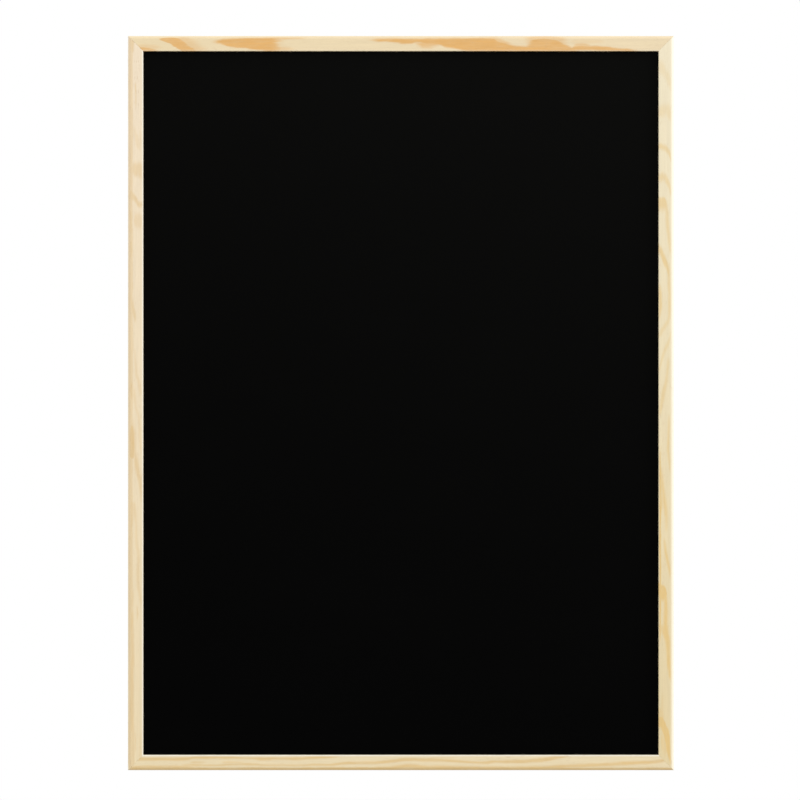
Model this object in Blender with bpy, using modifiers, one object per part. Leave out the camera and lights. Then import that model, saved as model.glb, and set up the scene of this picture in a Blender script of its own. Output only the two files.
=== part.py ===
"""Framed chalkboard for hanging on a wall.

Four mitred pine rails with a groove round their inner side hold a thin black
writing sheet and a hardboard backing.  V-shaped corner nails pull the mitres
together from behind, and two sawtooth hangers are nailed to the top rail.

Metres.  +Z is up, +X is to the right seen from the front, and the front faces
-Y.  Y = 0 is the flat back of the frame.  Z = 0 is the height at which the
wall nails bear in the hangers' notches, and X = 0 is midway between the sides.
"""

import math

import bmesh
import bpy
from mathutils import Matrix, Vector

MM = 0.001

# Outside of the frame
FRAME_WIDTH = 580.0 * MM
FRAME_HEIGHT = 780.0 * MM

# Section of a rail: u runs in from the outer edge, v back from the front face
RAIL_FACE = 16.5 * MM
RAIL_DEPTH = 12.0 * MM
OUTER_ROUND = 4.0 * MM
FRONT_ARRIS = 0.6 * MM
BACK_ARRIS = 0.6 * MM
ROUND_STEPS = 8
ARRIS_STEPS = 3

# Groove that holds the panel
FRONT_LIP = 4.5 * MM
GROOVE_DEPTH = 6.0 * MM

# Panel
SHEET_THICKNESS = 0.5 * MM
BACKING_THICKNESS = 2.5 * MM

# Clearances
TOUCH_GAP = 0.3 * MM
PANEL_EDGE_CLEARANCE = 0.5 * MM

# V-shaped corner nails
CORNER_NAIL_WIDTH = 9.0 * MM
CORNER_NAIL_BEND = 3.8 * MM
CORNER_NAIL_STRIP = 0.6 * MM
CORNER_NAIL_DEPTH = 7.0 * MM
CORNER_NAIL_SUNK = 0.4 * MM

# Sawtooth hangers
HANGER_SPACING = 340.0 * MM
HANGER_WIDTH = 45.0 * MM
HANGER_HEIGHT = 9.5 * MM
HANGER_THICKNESS = 0.8 * MM
HANGER_INSET = 1.5 * MM
HANGER_TAB = 8.0 * MM
HANGER_RAMP = 3.0 * MM
HANGER_RISE = 1.6 * MM
TOOTH_PITCH = 3.0 * MM
TOOTH_DEPTH = 1.5 * MM
TOOTH_LAND = 0.4 * MM

# Nails that hold the hangers
NAIL_SHANK_RADIUS = 0.6 * MM
NAIL_LENGTH = 8.0 * MM
NAIL_POINT = 1.5 * MM
NAIL_HEAD_RADIUS = 1.5 * MM
NAIL_HEAD_RIM = 0.3 * MM
NAIL_HEAD_DOME = 0.3 * MM
NAIL_SIDES = 20
DOME_STEPS = 3

# How far a cutter stands out of what it cuts
CUTTER_MARGIN = 1.0 * MM

# Welding and shading
WELD_DISTANCE = 0.001 * MM
MERGE_THRESHOLD = 0.01 * MM
SHARP_ANGLE = math.radians(35.0)

# Finishes: base colour, roughness, metallic
PINE_TOP = ((0.83, 0.66, 0.44), 0.50, 0.0)
PINE_BOTTOM = ((0.81, 0.67, 0.45), 0.50, 0.0)
PINE_LEFT = ((0.84, 0.70, 0.50), 0.50, 0.0)
PINE_RIGHT = ((0.83, 0.69, 0.47), 0.50, 0.0)
SLATE_BLACK = ((0.004, 0.004, 0.0035), 0.75, 0.0)
HARDBOARD_BROWN = ((0.20, 0.11, 0.055), 0.70, 0.0)
ZINC_STEEL = ((0.62, 0.63, 0.65), 0.35, 1.0)

# Sizes that follow from the ones above
GROOVE_WIDTH = SHEET_THICKNESS + BACKING_THICKNESS + 3.0 * TOUCH_GAP
SOLID_EDGE = RAIL_FACE - GROOVE_DEPTH
PANEL_INSET = SOLID_EDGE + PANEL_EDGE_CLEARANCE
PANEL_WIDTH = FRAME_WIDTH - 2.0 * PANEL_INSET
PANEL_HEIGHT = FRAME_HEIGHT - 2.0 * PANEL_INSET
SHEET_FRONT = FRONT_LIP + TOUCH_GAP
BACKING_FRONT = SHEET_FRONT + SHEET_THICKNESS + TOUCH_GAP
FRAME_TOP = HANGER_INSET + HANGER_HEIGHT - TOOTH_DEPTH
FRAME_BOTTOM = FRAME_TOP - FRAME_HEIGHT
FRAME_MIDDLE = (FRAME_TOP + FRAME_BOTTOM) / 2.0
HANGER_MIDDLE = FRAME_TOP - HANGER_INSET - HANGER_HEIGHT / 2.0
HANGER_LIFT = HANGER_RISE + HANGER_THICKNESS
NAIL_SEAT = 2.0 * TOUCH_GAP + HANGER_THICKNESS
NAIL_OFFSET = (HANGER_WIDTH - HANGER_TAB) / 2.0
HOLE_RADIUS = NAIL_SHANK_RADIUS + TOUCH_GAP


def clear_scene():
    """Remove every object that the file holds."""
    for old in list(bpy.data.objects):
        bpy.data.objects.remove(old, do_unlink=True)


def new_collection(name):
    collection = bpy.data.collections.new(name)
    bpy.context.scene.collection.children.link(collection)
    return collection


def add_object(name, data, collection):
    made = bpy.data.objects.new(name, data)
    collection.objects.link(made)
    return made


def finish_material(name, finish):
    """A Principled material with one colour, roughness and metallic value."""
    colour, roughness, metallic = finish
    material = bpy.data.materials.new(name)
    material.use_nodes = True
    shader = material.node_tree.nodes["Principled BSDF"]
    shader.inputs["Base Color"].default_value = (*colour, 1.0)
    shader.inputs["Roughness"].default_value = roughness
    shader.inputs["Metallic"].default_value = metallic
    return material


def dress(made, finish):
    made.data.materials.append(finish_material(made.name + "_finish", finish))


def arc(centre_u, centre_v, radius, start, end, steps):
    """Points along a circular arc, angles in degrees, both ends included."""
    points = []
    for step in range(steps + 1):
        angle = math.radians(start + (end - start) * step / steps)
        points.append((centre_u + radius * math.cos(angle), centre_v + radius * math.sin(angle)))
    return points


def rail_outline():
    """Section of a rail, u in from the outer edge and v back from the front face."""
    groove_back = FRONT_LIP + GROOVE_WIDTH
    back_v = RAIL_DEPTH - BACK_ARRIS
    outline = arc(OUTER_ROUND, OUTER_ROUND, OUTER_ROUND, 180.0, 270.0, ROUND_STEPS)
    outline += arc(RAIL_FACE - FRONT_ARRIS, FRONT_ARRIS, FRONT_ARRIS, 270.0, 360.0, ARRIS_STEPS)
    outline += [
        (RAIL_FACE, FRONT_LIP),
        (SOLID_EDGE, FRONT_LIP),
        (SOLID_EDGE, groove_back),
        (RAIL_FACE, groove_back),
    ]
    outline += arc(RAIL_FACE - BACK_ARRIS, back_v, BACK_ARRIS, 0.0, 90.0, ARRIS_STEPS)
    outline += arc(BACK_ARRIS, back_v, BACK_ARRIS, 90.0, 180.0, ARRIS_STEPS)
    return outline


def extruded_outline(name, outline, thickness, place, collection):
    """A flat outline filled as a 2D curve, extruded, and made a welded mesh."""
    curve = bpy.data.curves.new(name, "CURVE")
    curve.dimensions = "2D"
    curve.fill_mode = "BOTH"
    curve.extrude = thickness / 2.0
    spline = curve.splines.new("POLY")
    spline.points.add(len(outline) - 1)
    for point, (across, along) in zip(spline.points, outline):
        point.co = (across, along, 0.0, 1.0)
    spline.use_cyclic_u = True
    drawn = add_object(name + "_outline", curve, collection)
    drawn.matrix_world = place
    bpy.context.view_layer.update()
    evaluated = drawn.evaluated_get(bpy.context.evaluated_depsgraph_get())
    mesh = bpy.data.meshes.new_from_object(evaluated)
    mesh.name = name
    made = add_object(name, mesh, collection)
    made.matrix_world = place
    bpy.data.objects.remove(drawn, do_unlink=True)
    shape = bmesh.new()
    shape.from_mesh(mesh)
    bmesh.ops.remove_doubles(shape, verts=shape.verts, dist=WELD_DISTANCE)
    bmesh.ops.recalc_face_normals(shape, faces=shape.faces)
    shape.to_mesh(mesh)
    shape.free()
    return made


def hide_cutter(cutter):
    cutter.hide_render = True
    cutter.display_type = "WIRE"


def cut(made, cutter):
    """Take one cutter's volume out of a solid."""
    boolean = made.modifiers.new("cut_" + cutter.name, "BOOLEAN")
    boolean.operation = "DIFFERENCE"
    boolean.solver = "EXACT"
    boolean.object = cutter


def make_rail(name, length, outward, middle, finish, collection):
    """One mitred rail, its outer edge turned to the angle outward about Y.

    The mesh runs along X with its outer front edge on the axis.  Each end is
    drawn in by its distance from that edge, which leaves a true 45 degree mitre.
    """
    along_x = Matrix.Rotation(math.radians(90.0), 4, "Y")
    rail = extruded_outline(name, rail_outline(), length, along_x, collection)
    mesh = rail.data
    mesh.transform(along_x)
    mitre_setback = TOUCH_GAP / math.sqrt(2.0)
    for vertex in mesh.vertices:
        reach = length / 2.0 + vertex.co.z - mitre_setback
        vertex.co.x = math.copysign(reach, vertex.co.x)
    mesh.shade_smooth()
    mesh.set_sharp_from_angle(angle=SHARP_ANGLE)
    rail.location = middle
    rail.rotation_euler = (0.0, outward, 0.0)
    dress(rail, finish)
    return rail


def make_frame(collection):
    """The four rails, each placed by the middle of its outer front edge."""
    front = -RAIL_DEPTH
    half_width = FRAME_WIDTH / 2.0
    rails = {}
    rails["top"] = make_rail(
        "top_rail", FRAME_WIDTH, 0.0, (0.0, front, FRAME_TOP), PINE_TOP, collection)
    rails["right"] = make_rail(
        "right_stile", FRAME_HEIGHT, math.radians(90.0),
        (half_width, front, FRAME_MIDDLE), PINE_RIGHT, collection)
    rails["bottom"] = make_rail(
        "bottom_rail", FRAME_WIDTH, math.radians(180.0),
        (0.0, front, FRAME_BOTTOM), PINE_BOTTOM, collection)
    rails["left"] = make_rail(
        "left_stile", FRAME_HEIGHT, math.radians(270.0),
        (-half_width, front, FRAME_MIDDLE), PINE_LEFT, collection)
    return rails


def make_sheet(name, thickness, front, finish, collection):
    """A flat rectangular sheet that fits the groove, its front face at depth front."""
    mesh = bpy.data.meshes.new(name)
    shape = bmesh.new()
    bmesh.ops.create_cube(shape, size=1.0)
    bmesh.ops.scale(shape, verts=shape.verts, vec=(PANEL_WIDTH, thickness, PANEL_HEIGHT))
    shape.to_mesh(mesh)
    shape.free()
    sheet = add_object(name, mesh, collection)
    sheet.location = (0.0, front + thickness / 2.0 - RAIL_DEPTH, FRAME_MIDDLE)
    dress(sheet, finish)


def make_panel(collection):
    make_sheet("chalk_surface", SHEET_THICKNESS, SHEET_FRONT, SLATE_BLACK, collection)
    make_sheet("backing_board", BACKING_THICKNESS, BACKING_FRONT, HARDBOARD_BROWN, collection)


def bent_strip(name, path, along, thickness, offset, collection):
    """A strip whose path is drawn along a vector and thickened by Solidify."""
    mesh = bpy.data.meshes.new(name)
    shape = bmesh.new()
    corners = [shape.verts.new(point) for point in path]
    edges = [shape.edges.new(pair) for pair in zip(corners, corners[1:])]
    grown = bmesh.ops.extrude_edge_only(shape, edges=edges)["geom"]
    moved = [item for item in grown if isinstance(item, bmesh.types.BMVert)]
    bmesh.ops.translate(shape, verts=moved, vec=along)
    shape.to_mesh(mesh)
    shape.free()
    strip = add_object(name, mesh, collection)
    solidify = strip.modifiers.new("thickness", "SOLIDIFY")
    solidify.thickness = thickness
    solidify.offset = offset
    solidify.use_even_offset = True
    return strip


def corner_nail_strip(name, grow, depth, collection):
    """A V of sheet steel about the origin, its apex towards -X and depth along Y.

    grow is added to its outline all round, for the slot that the nail sits in.
    """
    half_width = CORNER_NAIL_WIDTH / 2.0
    wing = math.hypot(half_width, CORNER_NAIL_BEND)
    longer = 1.0 + grow / wing
    apex = -CORNER_NAIL_BEND / 2.0
    tip_x = apex + CORNER_NAIL_BEND * longer
    tip_z = half_width * longer
    path = [(tip_x, 0.0, -tip_z), (apex, 0.0, 0.0), (tip_x, 0.0, tip_z)]
    thickness = CORNER_NAIL_STRIP + 2.0 * grow
    return bent_strip(name, path, Vector((0.0, depth, 0.0)), thickness, 0.0, collection)


def make_corner_nails(rails, collection, cutters):
    """One V-shaped nail across each mitre, with its slot cut in both rails."""
    from_edge = SOLID_EDGE / 2.0
    nail_front = -(CORNER_NAIL_SUNK + CORNER_NAIL_DEPTH)
    slot_front = nail_front - TOUCH_GAP
    for level, side, edge in (("top", 1.0, FRAME_TOP), ("bottom", -1.0, FRAME_BOTTOM)):
        for hand, sign in (("left", -1.0), ("right", 1.0)):
            name = "corner_nail_" + level + "_" + hand
            place_x = sign * (FRAME_WIDTH / 2.0 - from_edge)
            place_z = edge - side * from_edge
            turn = (0.0, math.atan2(side, -sign), 0.0)
            nail = corner_nail_strip(name, 0.0, CORNER_NAIL_DEPTH, collection)
            nail.location = (place_x, nail_front, place_z)
            nail.rotation_euler = turn
            dress(nail, ZINC_STEEL)
            slot = corner_nail_strip(
                "slot_" + name, TOUCH_GAP, CUTTER_MARGIN - slot_front, cutters)
            slot.location = (place_x, slot_front, place_z)
            slot.rotation_euler = turn
            hide_cutter(slot)
            cut(rails[level], slot)
            cut(rails[hand], slot)


def sawtooth_outline():
    """Zigzag that leaves teeth along the hanger's lower edge, z up from that edge."""
    flat = HANGER_WIDTH - 2.0 * (HANGER_TAB + HANGER_RAMP)
    notches = max(1, int(flat / TOOTH_PITCH))
    slope = TOOTH_DEPTH / ((TOOTH_PITCH - TOOTH_LAND) / 2.0)
    root = -slope * TOOTH_LAND / 2.0
    start = -notches * TOOTH_PITCH / 2.0
    outline = [(start, -CUTTER_MARGIN), (start, root)]
    for notch in range(notches):
        left = start + notch * TOOTH_PITCH
        outline.append((left + TOOTH_PITCH / 2.0, TOOTH_DEPTH))
        outline.append((left + TOOTH_PITCH, root))
    outline.append((-start, -CUTTER_MARGIN))
    return outline


def hanger_strip(name, collection):
    """The hanger's plate: flat tabs, ramps and a raised middle."""
    end = HANGER_WIDTH / 2.0
    foot = end - HANGER_TAB
    crest = foot - HANGER_RAMP
    bottom = -HANGER_HEIGHT / 2.0
    path = [
        (-end, 0.0, bottom),
        (-foot, 0.0, bottom),
        (-crest, HANGER_RISE, bottom),
        (crest, HANGER_RISE, bottom),
        (foot, 0.0, bottom),
        (end, 0.0, bottom),
    ]
    upward = Vector((0.0, 0.0, HANGER_HEIGHT))
    return bent_strip(name, path, upward, HANGER_THICKNESS, 1.0, collection)


def nail_profile():
    """Half section of a nail, from the top of its domed head down to its point."""
    profile = []
    for step in range(DOME_STEPS):
        tilt = math.radians(90.0 * step / DOME_STEPS)
        radius = NAIL_HEAD_RADIUS * math.sin(tilt)
        profile.append((radius, NAIL_HEAD_RIM + NAIL_HEAD_DOME * math.cos(tilt)))
    profile += [
        (NAIL_HEAD_RADIUS, NAIL_HEAD_RIM),
        (NAIL_HEAD_RADIUS, 0.0),
        (NAIL_SHANK_RADIUS, 0.0),
        (NAIL_SHANK_RADIUS, NAIL_POINT - NAIL_LENGTH),
        (0.0, -NAIL_LENGTH),
    ]
    return profile


def make_nail(name, collection):
    """A round nail turned with Screw, its head towards +Z and its seat at Z = 0."""
    mesh = bpy.data.meshes.new(name)
    shape = bmesh.new()
    corners = [shape.verts.new((radius, 0.0, height)) for radius, height in nail_profile()]
    for pair in zip(corners, corners[1:]):
        shape.edges.new(pair)
    shape.to_mesh(mesh)
    shape.free()
    nail = add_object(name, mesh, collection)
    screw = nail.modifiers.new("turned", "SCREW")
    screw.steps = NAIL_SIDES
    screw.render_steps = NAIL_SIDES
    screw.use_merge_vertices = True
    screw.merge_threshold = MERGE_THRESHOLD
    screw.use_smooth_shade = True
    dress(nail, ZINC_STEEL)
    return nail


def hole_cutter(name, place, collection):
    """A cylinder along Y that clears a hanger nail's shank in the hanger and the rail."""
    mesh = bpy.data.meshes.new(name)
    shape = bmesh.new()
    front = NAIL_SEAT - NAIL_LENGTH - TOUCH_GAP
    back = NAIL_SEAT + CUTTER_MARGIN
    bmesh.ops.create_cone(
        shape, cap_ends=True, segments=NAIL_SIDES, radius1=HOLE_RADIUS, radius2=HOLE_RADIUS,
        depth=back - front, matrix=Matrix.Rotation(math.radians(90.0), 4, "X"))
    shape.to_mesh(mesh)
    shape.free()
    cutter = add_object(name, mesh, collection)
    cutter.location = (place, (back + front) / 2.0, HANGER_MIDDLE)
    hide_cutter(cutter)
    return cutter


def make_hangers(rails, collection, cutters):
    """Two sawtooth hangers, their teeth, their nails and the nails' holes."""
    across = Matrix.Rotation(math.radians(90.0), 4, "X")
    for hand, sign in (("left", -1.0), ("right", 1.0)):
        middle = sign * HANGER_SPACING / 2.0
        hanger = hanger_strip("hanger_" + hand, collection)
        hanger.location = (middle, TOUCH_GAP, HANGER_MIDDLE)
        dress(hanger, ZINC_STEEL)
        lower_edge = HANGER_MIDDLE - HANGER_HEIGHT / 2.0
        seat = Matrix.Translation((middle, TOUCH_GAP + HANGER_LIFT / 2.0, lower_edge))
        reach = HANGER_LIFT + 2.0 * CUTTER_MARGIN
        teeth = extruded_outline(
            "teeth_" + hand, sawtooth_outline(), reach, seat @ across, cutters)
        hide_cutter(teeth)
        cut(hanger, teeth)
        for place, way in (("outer", sign), ("inner", -sign)):
            name = "hanger_nail_" + hand + "_" + place
            nail = make_nail(name, collection)
            nail.parent = hanger
            nail.location = (way * NAIL_OFFSET, HANGER_THICKNESS + TOUCH_GAP, 0.0)
            nail.rotation_euler = (math.radians(-90.0), 0.0, 0.0)
            hole = hole_cutter("hole_" + name, middle + way * NAIL_OFFSET, cutters)
            cut(hanger, hole)
            cut(rails["top"], hole)


def build():
    clear_scene()
    parts = new_collection("chalkboard")
    cutters = new_collection("cutters")
    rails = make_frame(parts)
    make_panel(parts)
    make_corner_nails(rails, parts, cutters)
    make_hangers(rails, parts, cutters)
    bpy.context.view_layer.update()


build()
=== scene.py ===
"""Looks of a pine-framed chalkboard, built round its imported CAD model.

Metres.  +Z is up, +X is to the right seen from the front, and the front faces
-Y.  Grain is laid out in millimetres along, across and behind each rail.
"""

import math
from collections import namedtuple

import bmesh
import bpy
from mathutils import Matrix, Vector


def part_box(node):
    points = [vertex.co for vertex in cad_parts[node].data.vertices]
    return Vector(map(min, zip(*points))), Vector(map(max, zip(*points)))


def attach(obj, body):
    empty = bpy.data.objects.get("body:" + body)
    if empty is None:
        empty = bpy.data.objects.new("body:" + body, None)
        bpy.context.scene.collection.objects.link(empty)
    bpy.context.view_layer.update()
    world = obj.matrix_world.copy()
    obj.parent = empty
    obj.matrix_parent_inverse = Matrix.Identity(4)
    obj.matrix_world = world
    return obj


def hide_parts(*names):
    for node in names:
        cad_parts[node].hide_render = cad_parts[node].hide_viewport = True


bl_info = {
    "name": "Framed Chalkboard",
    "version": (1, 0, 0),
    "blender": (4, 5, 0),
    "location": "View3D > Sidebar > Chalkboard",
    "description": "Pine frame, writing sheet, hardboard back and hangers of a chalkboard",
    "category": "Add Mesh",
}

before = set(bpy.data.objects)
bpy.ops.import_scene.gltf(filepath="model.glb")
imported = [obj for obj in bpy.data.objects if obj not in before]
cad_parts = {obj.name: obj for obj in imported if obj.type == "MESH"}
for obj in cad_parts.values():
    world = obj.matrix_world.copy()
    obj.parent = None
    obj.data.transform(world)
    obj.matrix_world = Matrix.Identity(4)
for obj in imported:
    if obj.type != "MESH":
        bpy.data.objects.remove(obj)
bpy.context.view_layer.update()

MM = 0.001
BODY = "root"

# Outside of the frame, read off the CAD rails
TOP_LOW, TOP_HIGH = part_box("top_rail")
BOTTOM_LOW, BOTTOM_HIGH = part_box("bottom_rail")
LEFT_LOW, LEFT_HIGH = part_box("left_stile")
RIGHT_LOW, RIGHT_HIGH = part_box("right_stile")
FRAME_LEFT, FRAME_RIGHT = LEFT_LOW.x, RIGHT_HIGH.x
FRAME_TOP, FRAME_BOTTOM = TOP_HIGH.z, BOTTOM_LOW.z
FRAME_FRONT, FRAME_BACK = TOP_LOW.y, TOP_HIGH.y
FRAME_WIDTH = FRAME_RIGHT - FRAME_LEFT
FRAME_HEIGHT = FRAME_TOP - FRAME_BOTTOM
FRAME_MIDDLE = Vector((
    (FRAME_LEFT + FRAME_RIGHT) / 2.0, FRAME_FRONT, (FRAME_TOP + FRAME_BOTTOM) / 2.0))
RAIL_FACE = LEFT_HIGH.x - LEFT_LOW.x
RAIL_DEPTH = FRAME_BACK - FRAME_FRONT

X_AXIS = Vector((1.0, 0.0, 0.0))
Y_AXIS = Vector((0.0, 1.0, 0.0))
Z_AXIS = Vector((0.0, 0.0, 1.0))

# A rail runs along one axis from its outer front corner, and across towards the panel
Rail = namedtuple("Rail", "name corner along across length")
TOP_RAIL = Rail(
    "top_rail", Vector((FRAME_LEFT, FRAME_FRONT, FRAME_TOP)),
    X_AXIS, -Z_AXIS, FRAME_WIDTH)
BOTTOM_RAIL = Rail(
    "bottom_rail", Vector((FRAME_LEFT, FRAME_FRONT, FRAME_BOTTOM)),
    X_AXIS, Z_AXIS, FRAME_WIDTH)
LEFT_STILE = Rail(
    "left_stile", Vector((FRAME_LEFT, FRAME_FRONT, FRAME_TOP)),
    -Z_AXIS, X_AXIS, FRAME_HEIGHT)
RIGHT_STILE = Rail(
    "right_stile", Vector((FRAME_RIGHT, FRAME_FRONT, FRAME_TOP)),
    -Z_AXIS, -X_AXIS, FRAME_HEIGHT)


def seen(red, green, blue):
    """Scene-linear colour of an 8-bit screen colour."""
    linear = []
    for level in (red, green, blue):
        share = level / 255.0
        if share <= 0.04045:
            linear.append(share / 12.92)
        else:
            linear.append(((share + 0.055) / 1.055) ** 2.4)
    return tuple(linear)


# Settings that a user would change


def length_setting(name, description, millimetres):
    return bpy.props.FloatProperty(
        name=name, description=description, default=millimetres * MM,
        precision=5, unit="LENGTH", subtype="DISTANCE")


def colour_setting(name, description, colour):
    return bpy.props.FloatVectorProperty(
        name=name, description=description, default=colour,
        size=3, min=0.0, max=1.0, subtype="COLOR")


def share_setting(name, description, share):
    return bpy.props.FloatProperty(
        name=name, description=description, default=share,
        min=0.0, soft_max=1.0, precision=4, subtype="FACTOR")


class RailSettings(bpy.types.PropertyGroup):
    """Section of the pine rails."""

    outer_round: length_setting("Outer round", "Radius of the outer front edge", 4.0)
    front_arris: length_setting("Front arris", "Rounding of the inner front edge", 0.6)
    back_arris: length_setting("Back arris", "Rounding of the two back edges", 0.6)
    front_lip: length_setting("Front lip", "Wood in front of the groove", 4.5)
    groove_depth: length_setting("Groove depth", "How far the groove runs in", 6.0)
    groove_width: length_setting("Groove width", "Room for the panel", 3.9)
    mitre_gap: length_setting("Mitre gap", "Glue line between two rails", 0.04)
    mitre_ease: length_setting("Mitre ease", "Rounding of the cut ends' rim", 0.08)


class PineSettings(bpy.types.PropertyGroup):
    """Colours of the pine, pale wood and streaks, for each rail."""

    top_first: colour_setting("Top, left", "Pale wood, top rail", seen(235, 214, 171))
    top_last: colour_setting("Top, right", "Pale wood, top rail", seen(236, 215, 175))
    top_streak: colour_setting("Top flames", "Flames of the top rail", seen(227, 172, 90))
    bottom_first: colour_setting("Bottom, left", "Pale wood, bottom rail", seen(236, 217, 175))
    bottom_last: colour_setting("Bottom, right", "Pale wood, bottom rail", seen(237, 218, 176))
    bottom_streak: colour_setting(
        "Bottom lines", "Lines of the bottom rail", seen(226, 190, 124))
    left_first: colour_setting("Left, upper", "Pale wood, left stile", seen(242, 223, 194))
    left_last: colour_setting("Left, lower", "Pale wood, left stile", seen(236, 216, 174))
    left_streak: colour_setting(
        "Left streaks", "Streaks of the left stile", seen(226, 193, 136))
    right_first: colour_setting("Right, upper", "Pale wood, right stile", seen(241, 228, 196))
    right_last: colour_setting("Right, lower", "Pale wood, right stile", seen(230, 209, 160))
    right_streak: colour_setting(
        "Right streaks", "Streaks of the right stile", seen(230, 192, 114))
    # Pale rubbed wood and painted highlight: the colour of the inner edges that face the key
    # light and of the right stile's outer round.
    rub_and_highlight: colour_setting("Rubbed edge", "Pine rubbed pale at an edge", seen(254, 248, 232))
    resin: colour_setting("Resin", "Short dark fibres in the pine", seen(196, 158, 114))


class PanelSettings(bpy.types.PropertyGroup):
    """Writing surface and hardboard."""

    # The two blacks are the ends of a painted sheen: the coat is lighter towards the upper
    # right, where the key light is.
    black_painted_lit: colour_setting(
        "Upper black", "Writing coat at the upper right", (0.0034, 0.0034, 0.0031))
    black_painted_shaded: colour_setting(
        "Lower black", "Writing coat at the lower left", (0.0010, 0.0010, 0.0010))
    chalk_haze: colour_setting("Chalk haze", "Dust wiped into the coat", (0.012, 0.012, 0.012))
    coat_gloss: share_setting("Coat gloss", "Specular level of the writing coat", 0.02)
    hardboard: colour_setting("Hardboard", "Raw hardboard", seen(150, 112, 78))
    # Painted shade: the colour of the screen's pits, darker as shade in the recesses.
    hardboard_pit_shade: colour_setting("Hardboard pits", "Pits of the screen", seen(98, 68, 45))
    screen_pitch: length_setting("Screen pitch", "Pitch of the pressed screen", 1.6)


class HangerSettings(bpy.types.PropertyGroup):
    """Hangers, their nails and the zinc of all the steel."""

    plate: length_setting("Plate", "Thickness of the hanger's plate", 0.8)
    tab: length_setting("Tab", "Flat tab at each end of a hanger", 8.0)
    ramp: length_setting("Ramp", "Length of the ramp beside a tab", 3.0)
    tooth_pitch: length_setting("Tooth pitch", "Pitch of the teeth", 3.0)
    tooth_depth: length_setting("Tooth depth", "Depth of the notches", 1.5)
    tooth_land: length_setting("Tooth land", "Flat at the tip of a tooth", 0.4)
    stamped_edge: length_setting("Stamped edge", "Rounding of the plate's edges", 0.1)
    end_round: length_setting("End round", "Corner radius of the plate's ends", 1.4)
    nail_hole: length_setting("Nail hole", "Radius of the hole in a tab", 0.7)
    nail_rim: length_setting("Nail rim", "Height of the head's rim", 0.3)
    nail_dome: length_setting("Nail dome", "Height of the head's dome", 0.3)
    nail_shank: length_setting("Nail shank", "Radius of a nail's shank", 0.6)
    nail_point: length_setting("Nail point", "Length of a nail's point", 1.5)
    zinc: colour_setting("Zinc", "Zinc-plated steel", (0.62, 0.63, 0.65))


class CornerNailSettings(bpy.types.PropertyGroup):
    """The V-shaped nails in the mitres and their slots in the wood."""

    width: length_setting("Width", "Across the V's wings", 9.0)
    bend: length_setting("Bend", "From the V's apex to its tips", 3.8)
    strip: length_setting("Strip", "Thickness of the steel", 0.6)
    curl: length_setting("Curl", "Radius of the curled tips", 0.55)
    slot_room: length_setting("Slot room", "Room beside a corner nail", 0.06)


class StageSettings(bpy.types.PropertyGroup):
    """Camera, lamps and floor."""

    camera_distance: length_setting("Camera distance", "To the frame's front", 2600.0)
    camera_right: length_setting("Camera right", "Right of the frame's middle", -0.95)
    camera_up: length_setting("Camera up", "Above the frame's middle", 3.24)
    frame_share: share_setting("Frame share", "Frame's width in the picture", 546.7 / 800.0)
    floor_drop: length_setting("Floor drop", "Floor below the frame", 900.0)
    floor_size: length_setting("Floor size", "Side of the square floor", 6000.0)
    floor_colour: colour_setting(
        "Floor bounce", "Floor as it lights the board", (0.53, 0.53, 0.52))
    floor_near: colour_setting("Floor near", "Floor as seen near by", (0.8, 0.8, 0.79))
    floor_far: colour_setting("Floor far", "Floor as seen, at its edge", (0.97, 0.97, 0.97))
    sky_light: share_setting("Sky light", "Even white light from all round", 0.975)
    key_light: bpy.props.FloatProperty(
        name="Key light", description="Strength of the soft light from the upper right",
        default=1.1, min=0.0, soft_max=10.0)
    key_angle: bpy.props.FloatProperty(
        name="Key angle", description="How wide the soft light looks from the board",
        default=math.radians(28.0), min=0.0, subtype="ANGLE", unit="ROTATION")


# Meshes

# Facets of the outer round, of the front arris, of the back arrises and of small edges
OUTER_STEPS, FRONT_STEPS, BACK_STEPS, EDGE_STEPS = 14, 6, 4, 2

# Metres within which places are the same, and within which a cut leaves a point on it
SAME_PLACE = 1e-7
ON_PLANE = 1e-8


def square_section(settings):
    """Corners of a rail's section before its edges are rounded: across, behind."""
    solid = RAIL_FACE - settings.groove_depth
    groove_back = settings.front_lip + settings.groove_width
    return [
        (0.0, 0.0),
        (RAIL_FACE, 0.0),
        (RAIL_FACE, settings.front_lip),
        (solid, settings.front_lip),
        (solid, groove_back),
        (RAIL_FACE, groove_back),
        (RAIL_FACE, RAIL_DEPTH),
        (0.0, RAIL_DEPTH),
    ]


def moved_verts(result):
    return [item for item in result["geom"] if isinstance(item, bmesh.types.BMVert)]


def all_geometry(shape):
    return list(shape.verts) + list(shape.edges) + list(shape.faces)


def round_off(shape, parts, radius, steps, affect="EDGES"):
    bmesh.ops.bevel(
        shape, geom=parts, offset=radius, offset_type="OFFSET", segments=steps,
        profile=0.5, affect=affect, clamp_overlap=True, material=-1)


def round_long_edge(shape, across, behind, radius, steps):
    """Round the edge that runs along X at one corner of a rail's section."""
    edges = []
    for edge in shape.edges:
        off = max(max(abs(vertex.co.y - across), abs(vertex.co.z - behind))
                  for vertex in edge.verts)
        if off < SAME_PLACE:
            edges.append(edge)
    round_off(shape, edges, radius, steps)


def cut_mitre(shape, place, outward, ease):
    """Cut one end off at a plane, close it and ease the rim of the cut."""
    bmesh.ops.bisect_plane(
        shape, geom=all_geometry(shape), dist=ON_PLANE, plane_co=place, plane_no=outward,
        clear_outer=True)
    rim = [edge for edge in shape.edges if edge.is_boundary]
    bmesh.ops.contextual_create(shape, geom=rim)
    round_off(shape, rim, ease, EDGE_STEPS)


def place_in_frame(shape, corner, along, across):
    """Move a shape from along X, across Y, behind Z to its place in the frame."""
    axes = Matrix((along, across, Y_AXIS)).transposed().to_4x4()
    bmesh.ops.transform(shape, matrix=Matrix.Translation(corner) @ axes, verts=shape.verts)


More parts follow.
